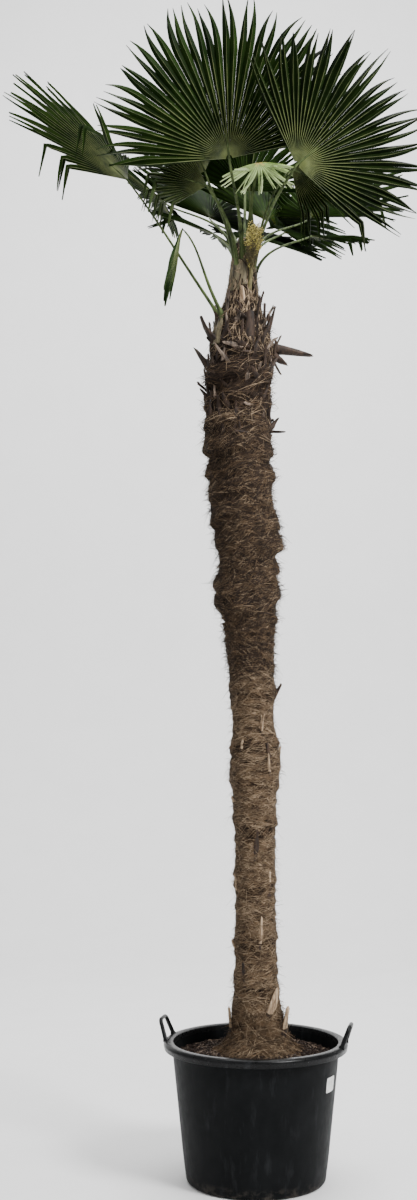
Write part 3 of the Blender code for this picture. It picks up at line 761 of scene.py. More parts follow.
@dataclass
class Soil:
    """The compost in the tub, with crumbs, straw and chips on it."""

    tub: Tub
    top: float = 0.452
    edge_drop: float = 0.018
    flat_radius: float = 0.178
    rings: int = 70
    sides: int = 180
    crumbs: int = 7000
    straws: int = 700
    seed: int = 11

    def height_at(self, x: np.ndarray, y: np.ndarray) -> np.ndarray:
        """Height of the soil's top, with its lumps.

        Args:
            x: places along X.
            y: places along Y.

        Returns:
            The heights.
        """
        radius = np.hypot(x, y)
        wall = self.tub.inner_radius(self.top)
        share = np.clip((radius - self.flat_radius) / (wall - self.flat_radius), 0.0, 1.0)
        rows = np.stack((x, y, np.zeros_like(x)), axis=-1).reshape(-1, 3)
        lumps = soft_noise(rows * 45, 3) * 0.003 + soft_noise(rows * 130, 5) * 0.0022
        lumps += soft_noise(rows * 12, 7) * 0.004 * share.ravel()
        return self.top - self.edge_drop * share + 0.0015 + lumps.reshape(x.shape)

    def reach(self, gap: float) -> float:
        """How far the soil's top reaches, with a gap to the tub's wall."""
        return self.tub.inner_radius(self.top - self.edge_drop) - gap

    def build_bed(self) -> bpy.types.Object:
        """The plug of soil: a lumpy top, a wall and a bottom."""
        reach = self.reach(0.0012)
        radii = reach * (np.arange(self.rings) / (self.rings - 1)) ** 0.8
        turn = 2 * np.pi * np.arange(self.sides) / self.sides
        r, a = np.meshgrid(radii, turn, indexing="ij")
        x, y = r * np.cos(a), r * np.sin(a)
        rows = [np.stack((x[k], y[k], self.height_at(x[k], y[k])), axis=-1) for k in range(1, self.rings)]
        for radius, height in (
            (self.tub.inner_radius(0.03) - 0.001, 0.03),
            (self.tub.inner_radius(self.tub.wall) - 0.013, self.tub.wall + 0.0006),
        ):
            level = np.full(self.sides, height)
            rows.append(np.stack((radius * np.cos(turn), radius * np.sin(turn), level), axis=-1))
        middle = float(self.height_at(np.zeros(1), np.zeros(1))[0])
        ends = np.array([[0, 0, middle], [0, 0, self.tub.wall + 0.0006]])
        quads, top, low = ring_faces(len(rows), self.sides)
        heap = Heap()
        heap.add(np.concatenate([*rows, ends]), np.roll(quads[:, ::-1], 1, axis=1))
        heap.tie(np.concatenate((top, low))[:, [1, 0, 2]])
        return put_on(heap.piece("soil_bed", [DAMP_SOIL]), "soil", "soil")

    def spots(self, count: int, rng: np.random.Generator, inner: float) -> tuple[np.ndarray, np.ndarray]:
        """Places spread evenly over the soil outside the trunk.

        Args:
            count: how many.
            rng: the source of chance.
            inner: the nearest to the middle that one lies.

        Returns:
            Their X and Y.
        """
        radius = np.sqrt(rng.uniform(inner**2, self.reach(0.004) ** 2, count))
        angle = rng.uniform(0, 2 * np.pi, count)
        return radius * np.cos(angle), radius * np.sin(angle)

    def build_crumbs(self) -> bpy.types.Object:
        """Small uneven crumbs of compost."""
        rng = np.random.default_rng(self.seed)
        ball, faces = icosahedron()
        x, y = self.spots(self.crumbs, rng, 0.06)
        size = rng.uniform(0.0010, 0.0034, self.crumbs) * (1 + (rng.random(self.crumbs) > 0.93) * 1.1)
        shape = unit(ball) * rng.uniform(0.7, 1.25, (self.crumbs, BALL_POINTS, 1))
        shape = shape * rng.uniform(0.65, 1.3, (self.crumbs, 1, 3)) * size[:, None, None]
        place = np.stack((x, y, self.height_at(x, y) + size * 0.4), axis=-1)
        heap = Heap()
        heap.add((shape + place[:, None]).reshape(-1, 3), copied(faces, self.crumbs))
        return put_on(heap.piece("soil_crumbs", [CRUMB_SOIL], 3.0), "soil")

    def build_straw(self) -> bpy.types.Object:
        """Bits of straw, bark and dead leaf that lie on the compost."""
        rng = np.random.default_rng(self.seed + 1)
        x, y = self.spots(self.straws, rng, 0.10)
        heading = rng.uniform(0, 2 * np.pi, self.straws)
        length = rng.uniform(0.010, 0.045, self.straws)
        width = rng.uniform(0.0008, 0.0022, self.straws)
        steps = np.linspace(-0.5, 0.5, 4)
        curl = rng.normal(0, 0.35, self.straws)
        turn = heading[:, None] + curl[:, None] * steps
        px = x[:, None] + length[:, None] * steps * np.cos(turn)
        py = y[:, None] + length[:, None] * steps * np.sin(turn)
        shrink = np.minimum(1.0, self.reach(0.003) / np.hypot(px, py))
        px, py = px * shrink, py * shrink
        lift = rng.uniform(0.001, 0.006, self.straws)[:, None] * (1 + 0.8 * steps)
        line = np.stack((px, py, self.height_at(px, py) + lift), axis=-1)
        side = np.stack((-np.sin(turn), np.cos(turn), 0.4 * np.sin(turn * 3)), axis=-1)
        side = side * width[:, None, None]
        heap = Heap()
        heap.add(*ribbons(line, side, np.array([0.5, 1.0, 1.0, 0.4])))
        return put_on(heap.piece("soil_straw", [STRAW], 3.0), "soil")

    def build(self) -> None:
        """Builds the soil's pieces."""
        self.build_bed()
        self.build_crumbs()
        self.build_straw()


def icosahedron() -> tuple[np.ndarray, np.ndarray]:
    """The 12 points and 20 faces of a small ball."""
    g = (1 + math.sqrt(5)) / 2
    points = [(-1, g, 0), (1, g, 0), (-1, -g, 0), (1, -g, 0), (0, -1, g), (0, 1, g)]
    points += [(0, -1, -g), (0, 1, -g), (g, 0, -1), (g, 0, 1), (-g, 0, -1), (-g, 0, 1)]
    faces = [(0, 11, 5), (0, 5, 1), (0, 1, 7), (0, 7, 10), (0, 10, 11), (1, 5, 9), (5, 11, 4)]
    faces += [(11, 10, 2), (10, 7, 6), (7, 1, 8), (3, 9, 4), (3, 4, 2), (3, 2, 6), (3, 6, 8)]
    faces += [(3, 8, 9), (4, 9, 5), (2, 4, 11), (6, 2, 10), (8, 6, 7), (9, 8, 1)]
    return np.array(points, dtype=float), np.array(faces)


def copied(faces: np.ndarray, count: int) -> np.ndarray:
    """The faces of many small balls whose points follow one another."""
    return (faces[None] + BALL_POINTS * np.arange(count)[:, None, None]).reshape(-1, 3)


def ribbons(line: np.ndarray, side: np.ndarray, taper: np.ndarray) -> tuple[np.ndarray, np.ndarray]:
    """Flat narrow strips along many lines.

    Args:
        line: the points of each strip's middle, strips by points by 3.
        side: half of each strip's width as a vector, in the same shape.
        taper: the share of the width at each point.

    Returns:
        Points and quads of all strips.
    """
    count, steps = line.shape[:2]
    edge = side * taper[None, :, None]
    points = np.stack((line - edge, line + edge), axis=2).reshape(-1, 3)
    strip, k = np.meshgrid(np.arange(count), np.arange(steps - 1), indexing="ij")
    first = (strip * steps + k) * 2
    quads = np.stack((first, first + 2, first + 3, first + 1), axis=-1).reshape(-1, 4)
    return points, quads


# Trunk


@dataclass(frozen=True)
class Strands:
    """One kind of loose fibre on the trunk: where it lies, how long it is and how it stands off.

    slant is how widely their directions spread, in degrees. course is the direction that they keep
    to, in degrees from level, and at 0 they follow the wraps. loose is the share with a free end.
    deep is 0 where they keep to the open folds, and 1 where they fill the creases too.
    """

    name: str
    finish: Finish
    count: int
    low: float
    high: float
    length: Pair
    slant: float
    width: Pair
    lift: float
    loose: float
    seed: int
    course: float = 0.0
    deep: float = 0.0


@dataclass(frozen=True)
class OldBase:
    """The stump of an old leaf stalk.

    azimuth, lean and tilt are in degrees: its side of the trunk, how far it stands off upright, and
    how far it tips sideways. cut tells whether its end shows pale wood, and thick is how many times
    as thick as a plain one it is where it is more than 1.
    """

    height: float
    azimuth: float
    length: float
    lean: float
    width: float
    cut: bool = False
    tilt: float = 0.0
    thick: float = 1.0


@dataclass
class Trunk:
    """The lean trunk in its matted fibre, with old leaf bases and the shaft at its top.

    ledges holds the height, the angle of the highest side and the thickness of each ledge of fibre.
    profile holds the height, the place along X and the radius of each ring.
    """

    rows: int = 620
    columns: int = 150
    shard_count: int = 150
    relief_share: float = 0.05
    relief_top: float = 3.08
    base_thick: float = 0.012
    upper_start: float = 1.90
    upper_rise: float = 0.12
    wrap_slant: float = 0.050
    wrap_turn: float = 1.9
    lower_pitch: float = 0.040
    upper_pitch: float = 0.088
    fold_depth: float = 0.0075
    upper_fold_depth: float = 0.0275
    ledge_depth: float = 0.0085
    green_from: float = 3.33
    roughness: float = 0.0012
    stump_sides: int = 10
    ledges: tuple[Triple, ...] = (
        (1.735, 3.6, 0.034),
        (1.540, 0.8, 0.030),
        (1.400, 5.2, 0.028),
        (1.258, 3.4, 0.060),
        (1.043, 2.2, 0.036),
        (0.848, 3.0, 0.034),
        (0.682, 4.6, 0.036),
    )
    profile: tuple[Triple, ...] = (
        (0.4523, 0.010, 0.155),
        (0.476, 0.010, 0.124),
        (0.506, 0.010, 0.104),
        (0.560, 0.009, 0.095),
        (0.630, 0.002, 0.089),
        (0.720, 0.002, 0.078),
        (0.930, -0.001, 0.073),
        (1.200, 0.001, 0.075),
        (1.340, -0.001, 0.079),
        (1.415, -0.002, 0.088),
        (1.490, 0.000, 0.091),
        (1.630, -0.005, 0.076),
        (1.710, -0.010, 0.082),
        (1.780, -0.012, 0.079),
        (1.925, -0.017, 0.090),
        (1.995, -0.016, 0.096),
        (2.060, -0.030, 0.115),
        (2.145, -0.027, 0.108),
        (2.215, -0.030, 0.105),
        (2.290, -0.027, 0.120),
        (2.365, -0.030, 0.115),
        (2.440, -0.046, 0.115),
        (2.515, -0.045, 0.122),
        (2.590, -0.054, 0.113),
        (2.700, -0.059, 0.121),
        (2.810, -0.057, 0.110),
        (2.890, -0.053, 0.119),
        (3.020, -0.046, 0.109),
        (3.110, -0.050, 0.081),
        (3.200, -0.044, 0.054),
        (3.320, -0.040, 0.036),
        (3.420, -0.038, 0.020),
    )
    stumps: tuple[OldBase, ...] = (
        OldBase(0.500, -27.0, 0.120, 10.0, 0.042, True),
        OldBase(0.500, 190.0, 0.110, 6.0, 0.030, True),
        OldBase(0.520, 95.0, 0.110, 10.0, 0.034, True),
        OldBase(0.960, -42.0, 0.120, 4.0, 0.028),
        OldBase(0.800, 182.0, 0.050, 24.0, 0.026, True),
        OldBase(1.090, 60.0, 0.110, 5.0, 0.030, True),
        OldBase(1.470, -48.0, 0.085, 3.0, 0.018, False, -16.0),
        OldBase(1.655, -116.0, 0.085, 4.0, 0.020, False, -4.0),
        OldBase(1.700, -10.0, 0.075, 28.0, 0.022),
        OldBase(1.340, 230.0, 0.110, 6.0, 0.028, True),
        OldBase(2.000, 120.0, 0.090, 14.0, 0.030),
        OldBase(2.620, 30.0, 0.090, 18.0, 0.030),
        OldBase(3.008, 5.0, 0.165, 98.0, 0.046, False, 0.0, 4.4),
        OldBase(2.985, 0.0, 0.075, 122.0, 0.040, False, 0.0, 3.6),
        OldBase(2.700, 4.0, 0.060, 40.0, 0.030, False, 0.0, 2.4),
        OldBase(2.925, 172.0, 0.105, 36.0, 0.046, False, 0.0, 3.4),
        OldBase(2.800, 184.0, 0.070, 40.0, 0.022, False, 0.0, 2.0),
        OldBase(3.000, 196.0, 0.130, 26.0, 0.040),
        OldBase(3.040, -12.0, 0.120, 16.0, 0.032),
        OldBase(2.960, 100.0, 0.130, 34.0, 0.034),
        OldBase(3.020, -75.0, 0.100, 12.0, 0.036),
    )
    slivers: tuple[OldBase, ...] = (
        OldBase(1.590, -72.0, 0.064, 3.0, 0.008, True, 8.0),
        OldBase(1.600, -76.0, 0.050, 3.0, 0.005, True, 10.0),
        OldBase(1.445, -55.0, 0.070, 3.0, 0.012, True, -6.0),
        OldBase(1.530, -126.0, 0.036, 3.0, 0.016, True, 14.0),
        OldBase(1.338, 190.0, 0.024, 20.0, 0.020, True),
        OldBase(1.145, -93.0, 0.105, 3.0, 0.020, False, 5.0),
        OldBase(1.052, -45.0, 0.043, 4.0, 0.013, True),
        OldBase(0.833, -79.0, 0.105, 3.0, 0.017, True, 3.0),
        OldBase(0.700, -120.0, 0.075, 4.0, 0.018, False, -8.0),
        OldBase(0.590, -64.0, 0.105, 8.0, 0.036, True, 17.0),
        OldBase(3.150, -88.0, 0.075, 4.0, 0.022, True),
        OldBase(1.240, 140.0, 0.080, 4.0, 0.018, True, 6.0),
        OldBase(1.470, 20.0, 0.070, 4.0, 0.016, True, -9.0),
        OldBase(0.905, 110.0, 0.090, 4.0, 0.018, True, 4.0),
        OldBase(0.720, 30.0, 0.080, 5.0, 0.020, False, 7.0),
        OldBase(1.660, 85.0, 0.070, 5.0, 0.016, True, -5.0),
        OldBase(1.380, 68.0, 0.060, 4.0, 0.014, True, 5.0),
        OldBase(1.020, 200.0, 0.060, 5.0, 0.016, True, -4.0),
    )
    strands: tuple[Strands, ...] = (
        Strands(
            "fibres_brown", FIBRE_BROWN, 17000, 0.46, 2.75, (0.03, 0.10), 30.0, (0.0005, 0.0011),
            0.0025, 0.10, 21,
        ),
        Strands(
            "fibres_dark", FIBRE_DARK, 12000, 1.80, 3.14, (0.03, 0.12), 42.0, (0.0007, 0.0016),
            0.0045, 0.20, 22, 0.0, 1.0,
        ),
        Strands(
            "fibres_pale", FIBRE_PALE, 11000, 0.455, 2.78, (0.025, 0.09), 34.0, (0.0004, 0.0009),
            0.0035, 0.12, 23,
        ),
        Strands(
            "fibres_crossing", FIBRE_PALE, 300, 2.66, 3.10, (0.04, 0.11), 60.0, (0.0005, 0.0013),
            0.012, 0.30, 24,
        ),
        Strands(
            "fibres_shaggy", FIBRE_BROWN, 2600, 1.85, 2.95, (0.03, 0.08), 50.0, (0.0004, 0.0009),
            0.010, 0.80, 25,
        ),
        Strands(
            "fibres_rooty", FIBRE_BROWN, 1500, 0.455, 0.56, (0.03, 0.10), 70.0, (0.0005, 0.0012),
            0.0090, 0.30, 26, 0.0, 1.0,
        ),
        Strands(
            "fibres_root_pale", FIBRE_PALE, 450, 0.455, 0.55, (0.03, 0.1), 80.0, (0.0005, 0.0011),
            0.01, 0.3, 29, 0.0, 1.0,
        ),
        Strands(
            "fibres_sheath", FIBRE_DARK, 2200, 3.06, 3.36, (0.04, 0.11), 9.0, (0.0009, 0.0026),
            0.0080, 0.05, 27, 90.0,
        ),
        Strands(
            "fibres_straw", FIBRE_PALE, 800, 3.06, 3.30, (0.04, 0.10), 12.0, (0.0009, 0.0024),
            0.0120, 0.08, 28, 90.0,
        ),
    )

    def profile_at(self, height: float) -> Pair:
        """The trunk's sideways place and radius at a height, on a smooth curve.

        Args:
            height: the height above the ground.

        Returns:
            The place of its middle along X, and its radius.
        """
        rows = self.profile
        k = max(i for i in range(len(rows) - 1) if rows[i][0] <= height + 1e-9 or i == 0)
        before, low, high = rows[max(k - 1, 0)], rows[k], rows[k + 1]
        after = rows[min(k + 2, len(rows) - 1)]
        t = min(1.0, max(0.0, (height - low[0]) / (high[0] - low[0])))
        found = []
        for c in (1, 2):
            rise = high[0] - low[0]
            slope_low = (high[c] - before[c]) / max(high[0] - before[0], 1e-9) * rise
            slope_high = (after[c] - low[c]) / max(after[0] - low[0], 1e-9) * rise
            found.append(
                (2 * t**3 - 3 * t**2 + 1) * low[c]
                + (t**3 - 2 * t**2 + t) * slope_low
                + (3 * t**2 - 2 * t**3) * high[c]
                + (t**3 - t**2) * slope_high
            )
        return found[0], found[1]

    def upper_share(self, height: np.ndarray) -> np.ndarray:
        """0 on the lower trunk, 1 on the shaggy upper trunk, with a short rise between them."""
        return np.clip((height - self.upper_start) / self.upper_rise, 0.0, 1.0)

    def relief(self, heights: np.ndarray, angles: np.ndarray) -> np.ndarray:
        """How far the fibre's wraps and lumps stand off the plain trunk.

        Args:
            heights: the height of each row.
            angles: the angle of each column.

        Returns:
            The relief in metres, rows by columns.
        """
        z, a = np.meshgrid(heights, angles, indexing="ij")
        shape = z.shape
        ring = np.stack((np.cos(a), np.sin(a), np.zeros_like(a)), axis=-1).reshape(-1, 3)
        rise = np.stack((np.zeros_like(z), np.zeros_like(z), z), axis=-1).reshape(-1, 3)
        upper = self.upper_share(z)
        wander = soft_noise(ring * 1.1 + rise * 3.0, 31).reshape(shape)
        slant = self.wrap_slant * np.sin(a - self.wrap_turn + 1.6 * wander) + 0.020 * wander
        pitch = self.upper_pitch + (self.lower_pitch - self.upper_pitch) * (1 - upper)
        band = (z + slant * (0.25 + 0.75 * upper)) / pitch
        part = band - np.floor(band)
        fold = np.clip(part / 0.20, 0.0, 1.0) ** 0.6 * (1 - 0.80 * part**1.8)
        own = soft_noise(ring * 0.9 + np.floor(band).reshape(-1, 1) * 1.37, 32).reshape(shape)
        loud = np.clip(0.62 + 0.70 * own, 0.12, 1.3)
        depth = (self.fold_depth + self.upper_fold_depth * upper) * loud * fold
        lumps = soft_noise(ring * 3.2 + rise * 22.0, 33).reshape(shape) * (0.0024 + 0.0046 * upper)
        under_ledge = np.zeros(shape)
        for height, side_angle, thick in self.ledges:
            near = (z - height + 0.012 * np.sin(a - side_angle)) / thick
            lumps += self.ledge_depth * np.where(near > 0, np.exp(-near), np.exp(8.0 * near))
            under_ledge = np.maximum(under_ledge, np.exp(-(((near + 0.30) / 0.26) ** 2)))
        # crease marks the creases between the wraps and a band under each ledge, where the skin takes
        # painted shade.
        open_folds = np.clip(loud * (0.55 + 0.45 * upper), 0.0, 1.0)
        self.crease = np.maximum(np.clip(1.0 - fold / 0.70, 0.0, 1.0) * open_folds, under_ledge * 0.9)
        fine = soft_noise(ring * 11.0 + rise * 130.0, 34).reshape(shape) * 0.0012
        cross = soft_noise(ring * 22.0 + rise * 60.0, 35).reshape(shape) * 0.0008
        fade = np.clip((self.relief_top + 0.06 - z) / 0.14, 0.12, 1.0)
        return (depth + lumps + fine + cross - 0.006 - 0.009 * upper) * fade

    def shape_skin(self) -> None:
        """Works out the fibre skin's middle and radius at every row and column."""
        low, high = self.profile[0][0], self.profile[-1][0]
        self.heights = low + (high - low) * np.linspace(0.0, 1.0, self.rows)
        self.angles = 2 * np.pi * np.arange(self.columns) / self.columns
        plain = np.array([self.profile_at(float(z)) for z in self.heights])
        self.middles, radii = plain[:, 0], plain[:, 1]
        swell = np.array(
            [
                [noise.noise((math.cos(a) * 1.3, math.sin(a) * 1.3, z * 5.0)) for a in self.angles]
                for z in self.heights
            ]
        )
        fade = np.clip((self.relief_top - self.heights) / 0.1, 0.0, 1.0)[:, None]
        self.radii = radii[:, None] * (1 + self.relief_share * fade * swell)
        self.radii = np.maximum(self.radii + self.relief(self.heights, self.angles), 0.008)

    def radius_at(self, height: np.ndarray, angle: np.ndarray) -> np.ndarray:
        """Radius of the fibre skin.

        Args:
            height: heights.
            angle: angles round the trunk's middle.

        Returns:
            The radii.
        """
        share = (height - self.heights[0]) / (self.heights[-1] - self.heights[0]) * (self.rows - 1)
        share = np.clip(share, 0, self.rows - 1.001)
        turn = (angle % (2 * np.pi)) / (2 * np.pi) * self.columns
        row, column = np.floor(share).astype(int), np.floor(turn).astype(int) % self.columns
        u, v = share - row, turn - np.floor(turn)
        after = (column + 1) % self.columns
        low = self.radii[row, column] * (1 - v) + self.radii[row, after] * v
        high = self.radii[row + 1, column] * (1 - v) + self.radii[row + 1, after] * v
        return low * (1 - u) + high * u

    def point_at(self, height: np.ndarray, angle: np.ndarray, off: np.ndarray) -> np.ndarray:
        """Points on or off the fibre skin.

        Args:
            height: heights.
            angle: angles round the trunk's middle.
            off: how far off the skin.

        Returns:
            The points, with their coordinates on the last axis.
        """
        middle = np.interp(height, self.heights, self.middles)
        radius = self.radius_at(height, angle) + off
        return np.stack((middle + radius * np.cos(angle), radius * np.sin(angle), height), axis=-1)

    def build_skin(self) -> bpy.types.Object:
        """The closed skin of matted fibre, up to the green top of the shaft."""
        z, a = np.meshgrid(self.heights, self.angles, indexing="ij")
        points = self.point_at(z, a, np.zeros_like(z)).reshape(-1, 3)
        ends = np.array(
            [[self.middles[0], 0, self.heights[0]], [self.middles[-1], 0, self.heights[-1] + 0.004]]
        )
        quads, low, top = ring_faces(self.rows, self.columns)
        row, k = np.divmod(quads[:, 0], self.columns)
        height = self.heights[row]
        grain = soft_noise(points[quads[:, 0]] * 60.0, 36)
        # deep picks the faces with the darker fibre: painted shade in the creases and under the ledges, and
        # all faces above about 2.55 m and below about 0.50 m.
        deep = (self.crease[row, k] > 0.30 + 0.15 * grain) | (height > 2.55 + 0.25 * grain)
        deep |= height < 0.50 + 0.02 * grain
        green = height > self.green_from + 0.03 * np.sin(5 * self.angles[k])
        heap = Heap()
        heap.add(np.concatenate((points, ends)), quads, np.where(green, 2, deep.astype(int)))
        heap.tie(low)
        heap.tie(top, 2)
        finishes = [FIBRE_MAT, FIBRE_SHADE_AND_DARK, SHEATH_GREEN]
        return put_on(heap.piece("trunk_fibre_skin", finishes, 3.0), "trunk", "trunk")

    def build_strands(self, kind: Strands) -> bpy.types.Object:
        """Lays thin strands over the skin, some with a loose end.

        Args:
            kind: which strands.

        Returns:
            The joined strands.
        """
        rng = np.random.default_rng(kind.seed)
        n, steps = kind.count, 4
        z = rng.uniform(kind.low, kind.high, 3 * n)
        a = rng.uniform(0, 2 * np.pi, 3 * n)
        row = (z - self.heights[0]) / (self.heights[-1] - self.heights[0]) * (self.rows - 1)
        # dark reads the crease mask of painted shade; strands with a low deep mostly keep off it.
        dark = self.crease[row.astype(int), (a / (2 * np.pi) * self.columns).astype(int) % self.columns]
        on_top = np.flatnonzero(dark < rng.uniform(0.02, 0.40, 3 * n) + kind.deep)
        on_top = on_top[np.arange(n) % len(on_top)]
        z, a = z[on_top], a[on_top]
        length = rng.uniform(*kind.length, n)
        slope = -self.wrap_slant * np.cos(a - self.wrap_turn) * (0.25 + 0.75 * self.upper_share(z))
        wrap = np.arctan2(slope, 0.11)
        sway = soft_noise(np.stack((np.cos(a) * 2.4, np.sin(a) * 2.4, z * 14.0), axis=1), 37)
        combed = (wrap + np.radians(46.0) * sway) * (kind.course == 0.0)
        spread = np.radians(rng.normal(kind.course, 0.5 * kind.slant, n))
        slant = combed + spread + (rng.random(n) > 0.5) * np.pi
        bend = rng.normal(0, 0.5, n)
        radius = self.radius_at(z, a)
        t = np.linspace(0, 1, steps)
        course = slant[:, None] + bend[:, None] * t
        step = length[:, None] / (steps - 1)
        dz = np.cumsum(np.sin(course) * step, axis=1)
        da = np.cumsum(np.cos(course) * step, axis=1) / radius[:, None]
        loose = (rng.random(n) < kind.loose) * rng.uniform(0.2, 1.0, n)
        hang = loose[:, None] * t**2 * length[:, None]
        height = np.clip(z[:, None] + dz - hang * 0.35, self.profile[0][0] + 0.002, 3.40)
        off = kind.lift * (0.25 + rng.random(n)[:, None] * np.sin(np.pi * t)) + hang * 0.42
        angle = a[:, None] + da
        line = self.point_at(height, angle, off)
        out = np.stack((np.cos(angle), np.sin(angle), np.zeros_like(angle)), axis=-1)
        side = unit(np.cross(out, np.gradient(line, axis=1)))
        side = side * rng.uniform(*kind.width, n)[:, None, None]
        heap = Heap()
        heap.add(*ribbons(line, side, np.array([0.7, 1.0, 0.8, 0.15])))
        return put_on(heap.piece(kind.name, [kind.finish], 3.0), "trunk")

    def stump(self, heap: Heap, spec: OldBase, rng: np.random.Generator, sliver: bool) -> None:
        """Adds the stump of an old leaf stalk, rough at its cut.

        Args:
            heap: where it is gathered.
            spec: its place and sizes.
            rng: the source of chance.
            sliver: whether it lies in the fibre, with only its face showing.
        """
        lean, tilt = math.radians(spec.lean), math.radians(spec.tilt)
        middle, radius = self.profile_at(spec.height)
        outward, sideways = level_ways(spec.azimuth)
        course = UP * math.cos(tilt) + sideways * math.sin(tilt)
        along = outward * math.sin(lean) + course * math.cos(lean)
        depth = 0.002 if sliver else 0.010
        root = np.array([middle, 0.0, spec.height]) + outward * (radius - depth)
        shares = np.array([-0.12, 0.08, 0.35, 0.68, 0.94, 1.0])
        widths = np.array([1.2, 1.1, 1.0, 0.80, 0.66, 0.58]) * spec.width / 2
        thicks = np.array([1.5, 1.25, 1.0, 0.85, 0.75, 0.5]) * self.base_thick / 2
        if spec.thick > 1.0:
            thicks = np.array([1.9, 1.7, 1.35, 0.9, 0.45, 0.15]) * self.base_thick / 2 * spec.thick / 2
        if sliver:
            thicks = thicks * 0.75
            widths = widths * np.array([0.30, 0.75, 1.0, 0.90, 0.60, 0.22])
        line = root + along * (spec.length * shares)[:, None]
        line = line + sideways * (rng.normal(0, self.roughness, len(shares)))[:, None]
        sides = self.stump_sides
        points, (quads, ends) = tube(line, np.tile(sideways, (len(shares), 1)), widths, thicks, sides)
        jitter = rng.normal(0, self.roughness, points.shape)
        jitter[-2 - sides : -2] += along * rng.uniform(-0.010, 0.004, sides)[:, None]
        points = points + jitter
        marks = np.zeros(len(quads), dtype=int)
        rows = np.arange(len(quads)) // sides
        if spec.cut:
            marks[rows >= (1 if sliver else 2)] = 1
        heap.add(points, quads, marks)
        heap.tie(ends, int(spec.cut))

    def shards(self, heap: Heap, rng: np.random.Generator) -> None:
        """Adds the split dark leaf bases that stick out all round under the crown.

        Args:
            heap: where they are gathered.
            rng: the source of chance.
        """
        for k in range(self.shard_count):
            height = 2.60 + 0.51 * (k / self.shard_count) ** 0.7 + rng.uniform(-0.03, 0.03)
            spec = OldBase(
                height,
                math.degrees(k * GOLDEN_TURN),
                rng.uniform(0.035, 0.110),
                abs(rng.normal(4.0, 9.0)),
                rng.uniform(0.007, 0.024),
                bool(rng.random() < 0.22),
                rng.normal(0, 50.0) if rng.random() < 0.6 else rng.normal(0, 14.0),
            )
            self.stump(heap, spec, rng, True)

    def build_bases(self) -> None:
        """The stumps, the slivers in the fibre and the shards under the crown."""
        rng = np.random.default_rng(41)
        heap = Heap()
        for spec in self.stumps:
            self.stump(heap, spec, rng, False)
        for spec in self.slivers:
            self.stump(heap, spec, rng, True)
        put_on(heap.piece("old_leaf_bases", [BASE_BROWN, CUT_WOOD], 0.9), "trunk")
        heap = Heap()
        self.shards(heap, rng)
        put_on(heap.piece("leaf_base_shards", [BASE_BROWN, BASE_GREY], 0.9), "trunk")

    def build(self) -> None:
        """Builds the trunk's pieces."""
        self.shape_skin()
        self.build_skin()
        for kind in self.strands:
            self.build_strands(kind)
        self.build_bases()


# Fronds


@dataclass(frozen=True)
class Frond:
    """Where a frond stands: its hub from the crown's middle, and how its blade is turned.

    Angles are in degrees. broken is the share of leaflets with a hanging end, joined scales how far
    out they stay joined, and hanging counts those that hang at the first side, or where it is less
    than 0 at the last one.
    """

    name: str
    foot: float
    azimuth: float
    reach: float
    rise: float
    heading: float
    lift: float
    roll: float
    radius: float
    half_span: float
    droop: float
    # tone is the fan's leaf colour; most tones carry painted shade or painted light for the whole fan.
    tone: LeafTone = LeafTone.LIT
    broken: float = 0.05
    joined: float = 1.0
    hanging: int = 0


@dataclass(frozen=True)
class Tier:
    """A tier of fronds: how many, between which azimuths, and how they stand."""

    name: str
    count: int
    first: float
    last: float
    reach: float
    rise: float
    lift: float
    radius: float
    droop: float
    tone: LeafTone

    def fronds(self) -> list[Frond]:
        """The tier's fronds as they would stand if nothing were in their way."""
        found = []
        for k in range(self.count):
            azimuth = self.first + (self.last - self.first) * k / (self.count - 1)
            found.append(
                Frond(
                    f"{self.name}_{k + 1}",
                    azimuth,
                    azimuth,
                    self.reach,
                    self.rise + 0.02 * (k % 2),
                    azimuth,
                    self.lift - 6.0 * (k % 2),
                    16.0,
                    self.radius,
                    80.0,
                    self.droop,
                    self.tone,
                )
            )
        return found


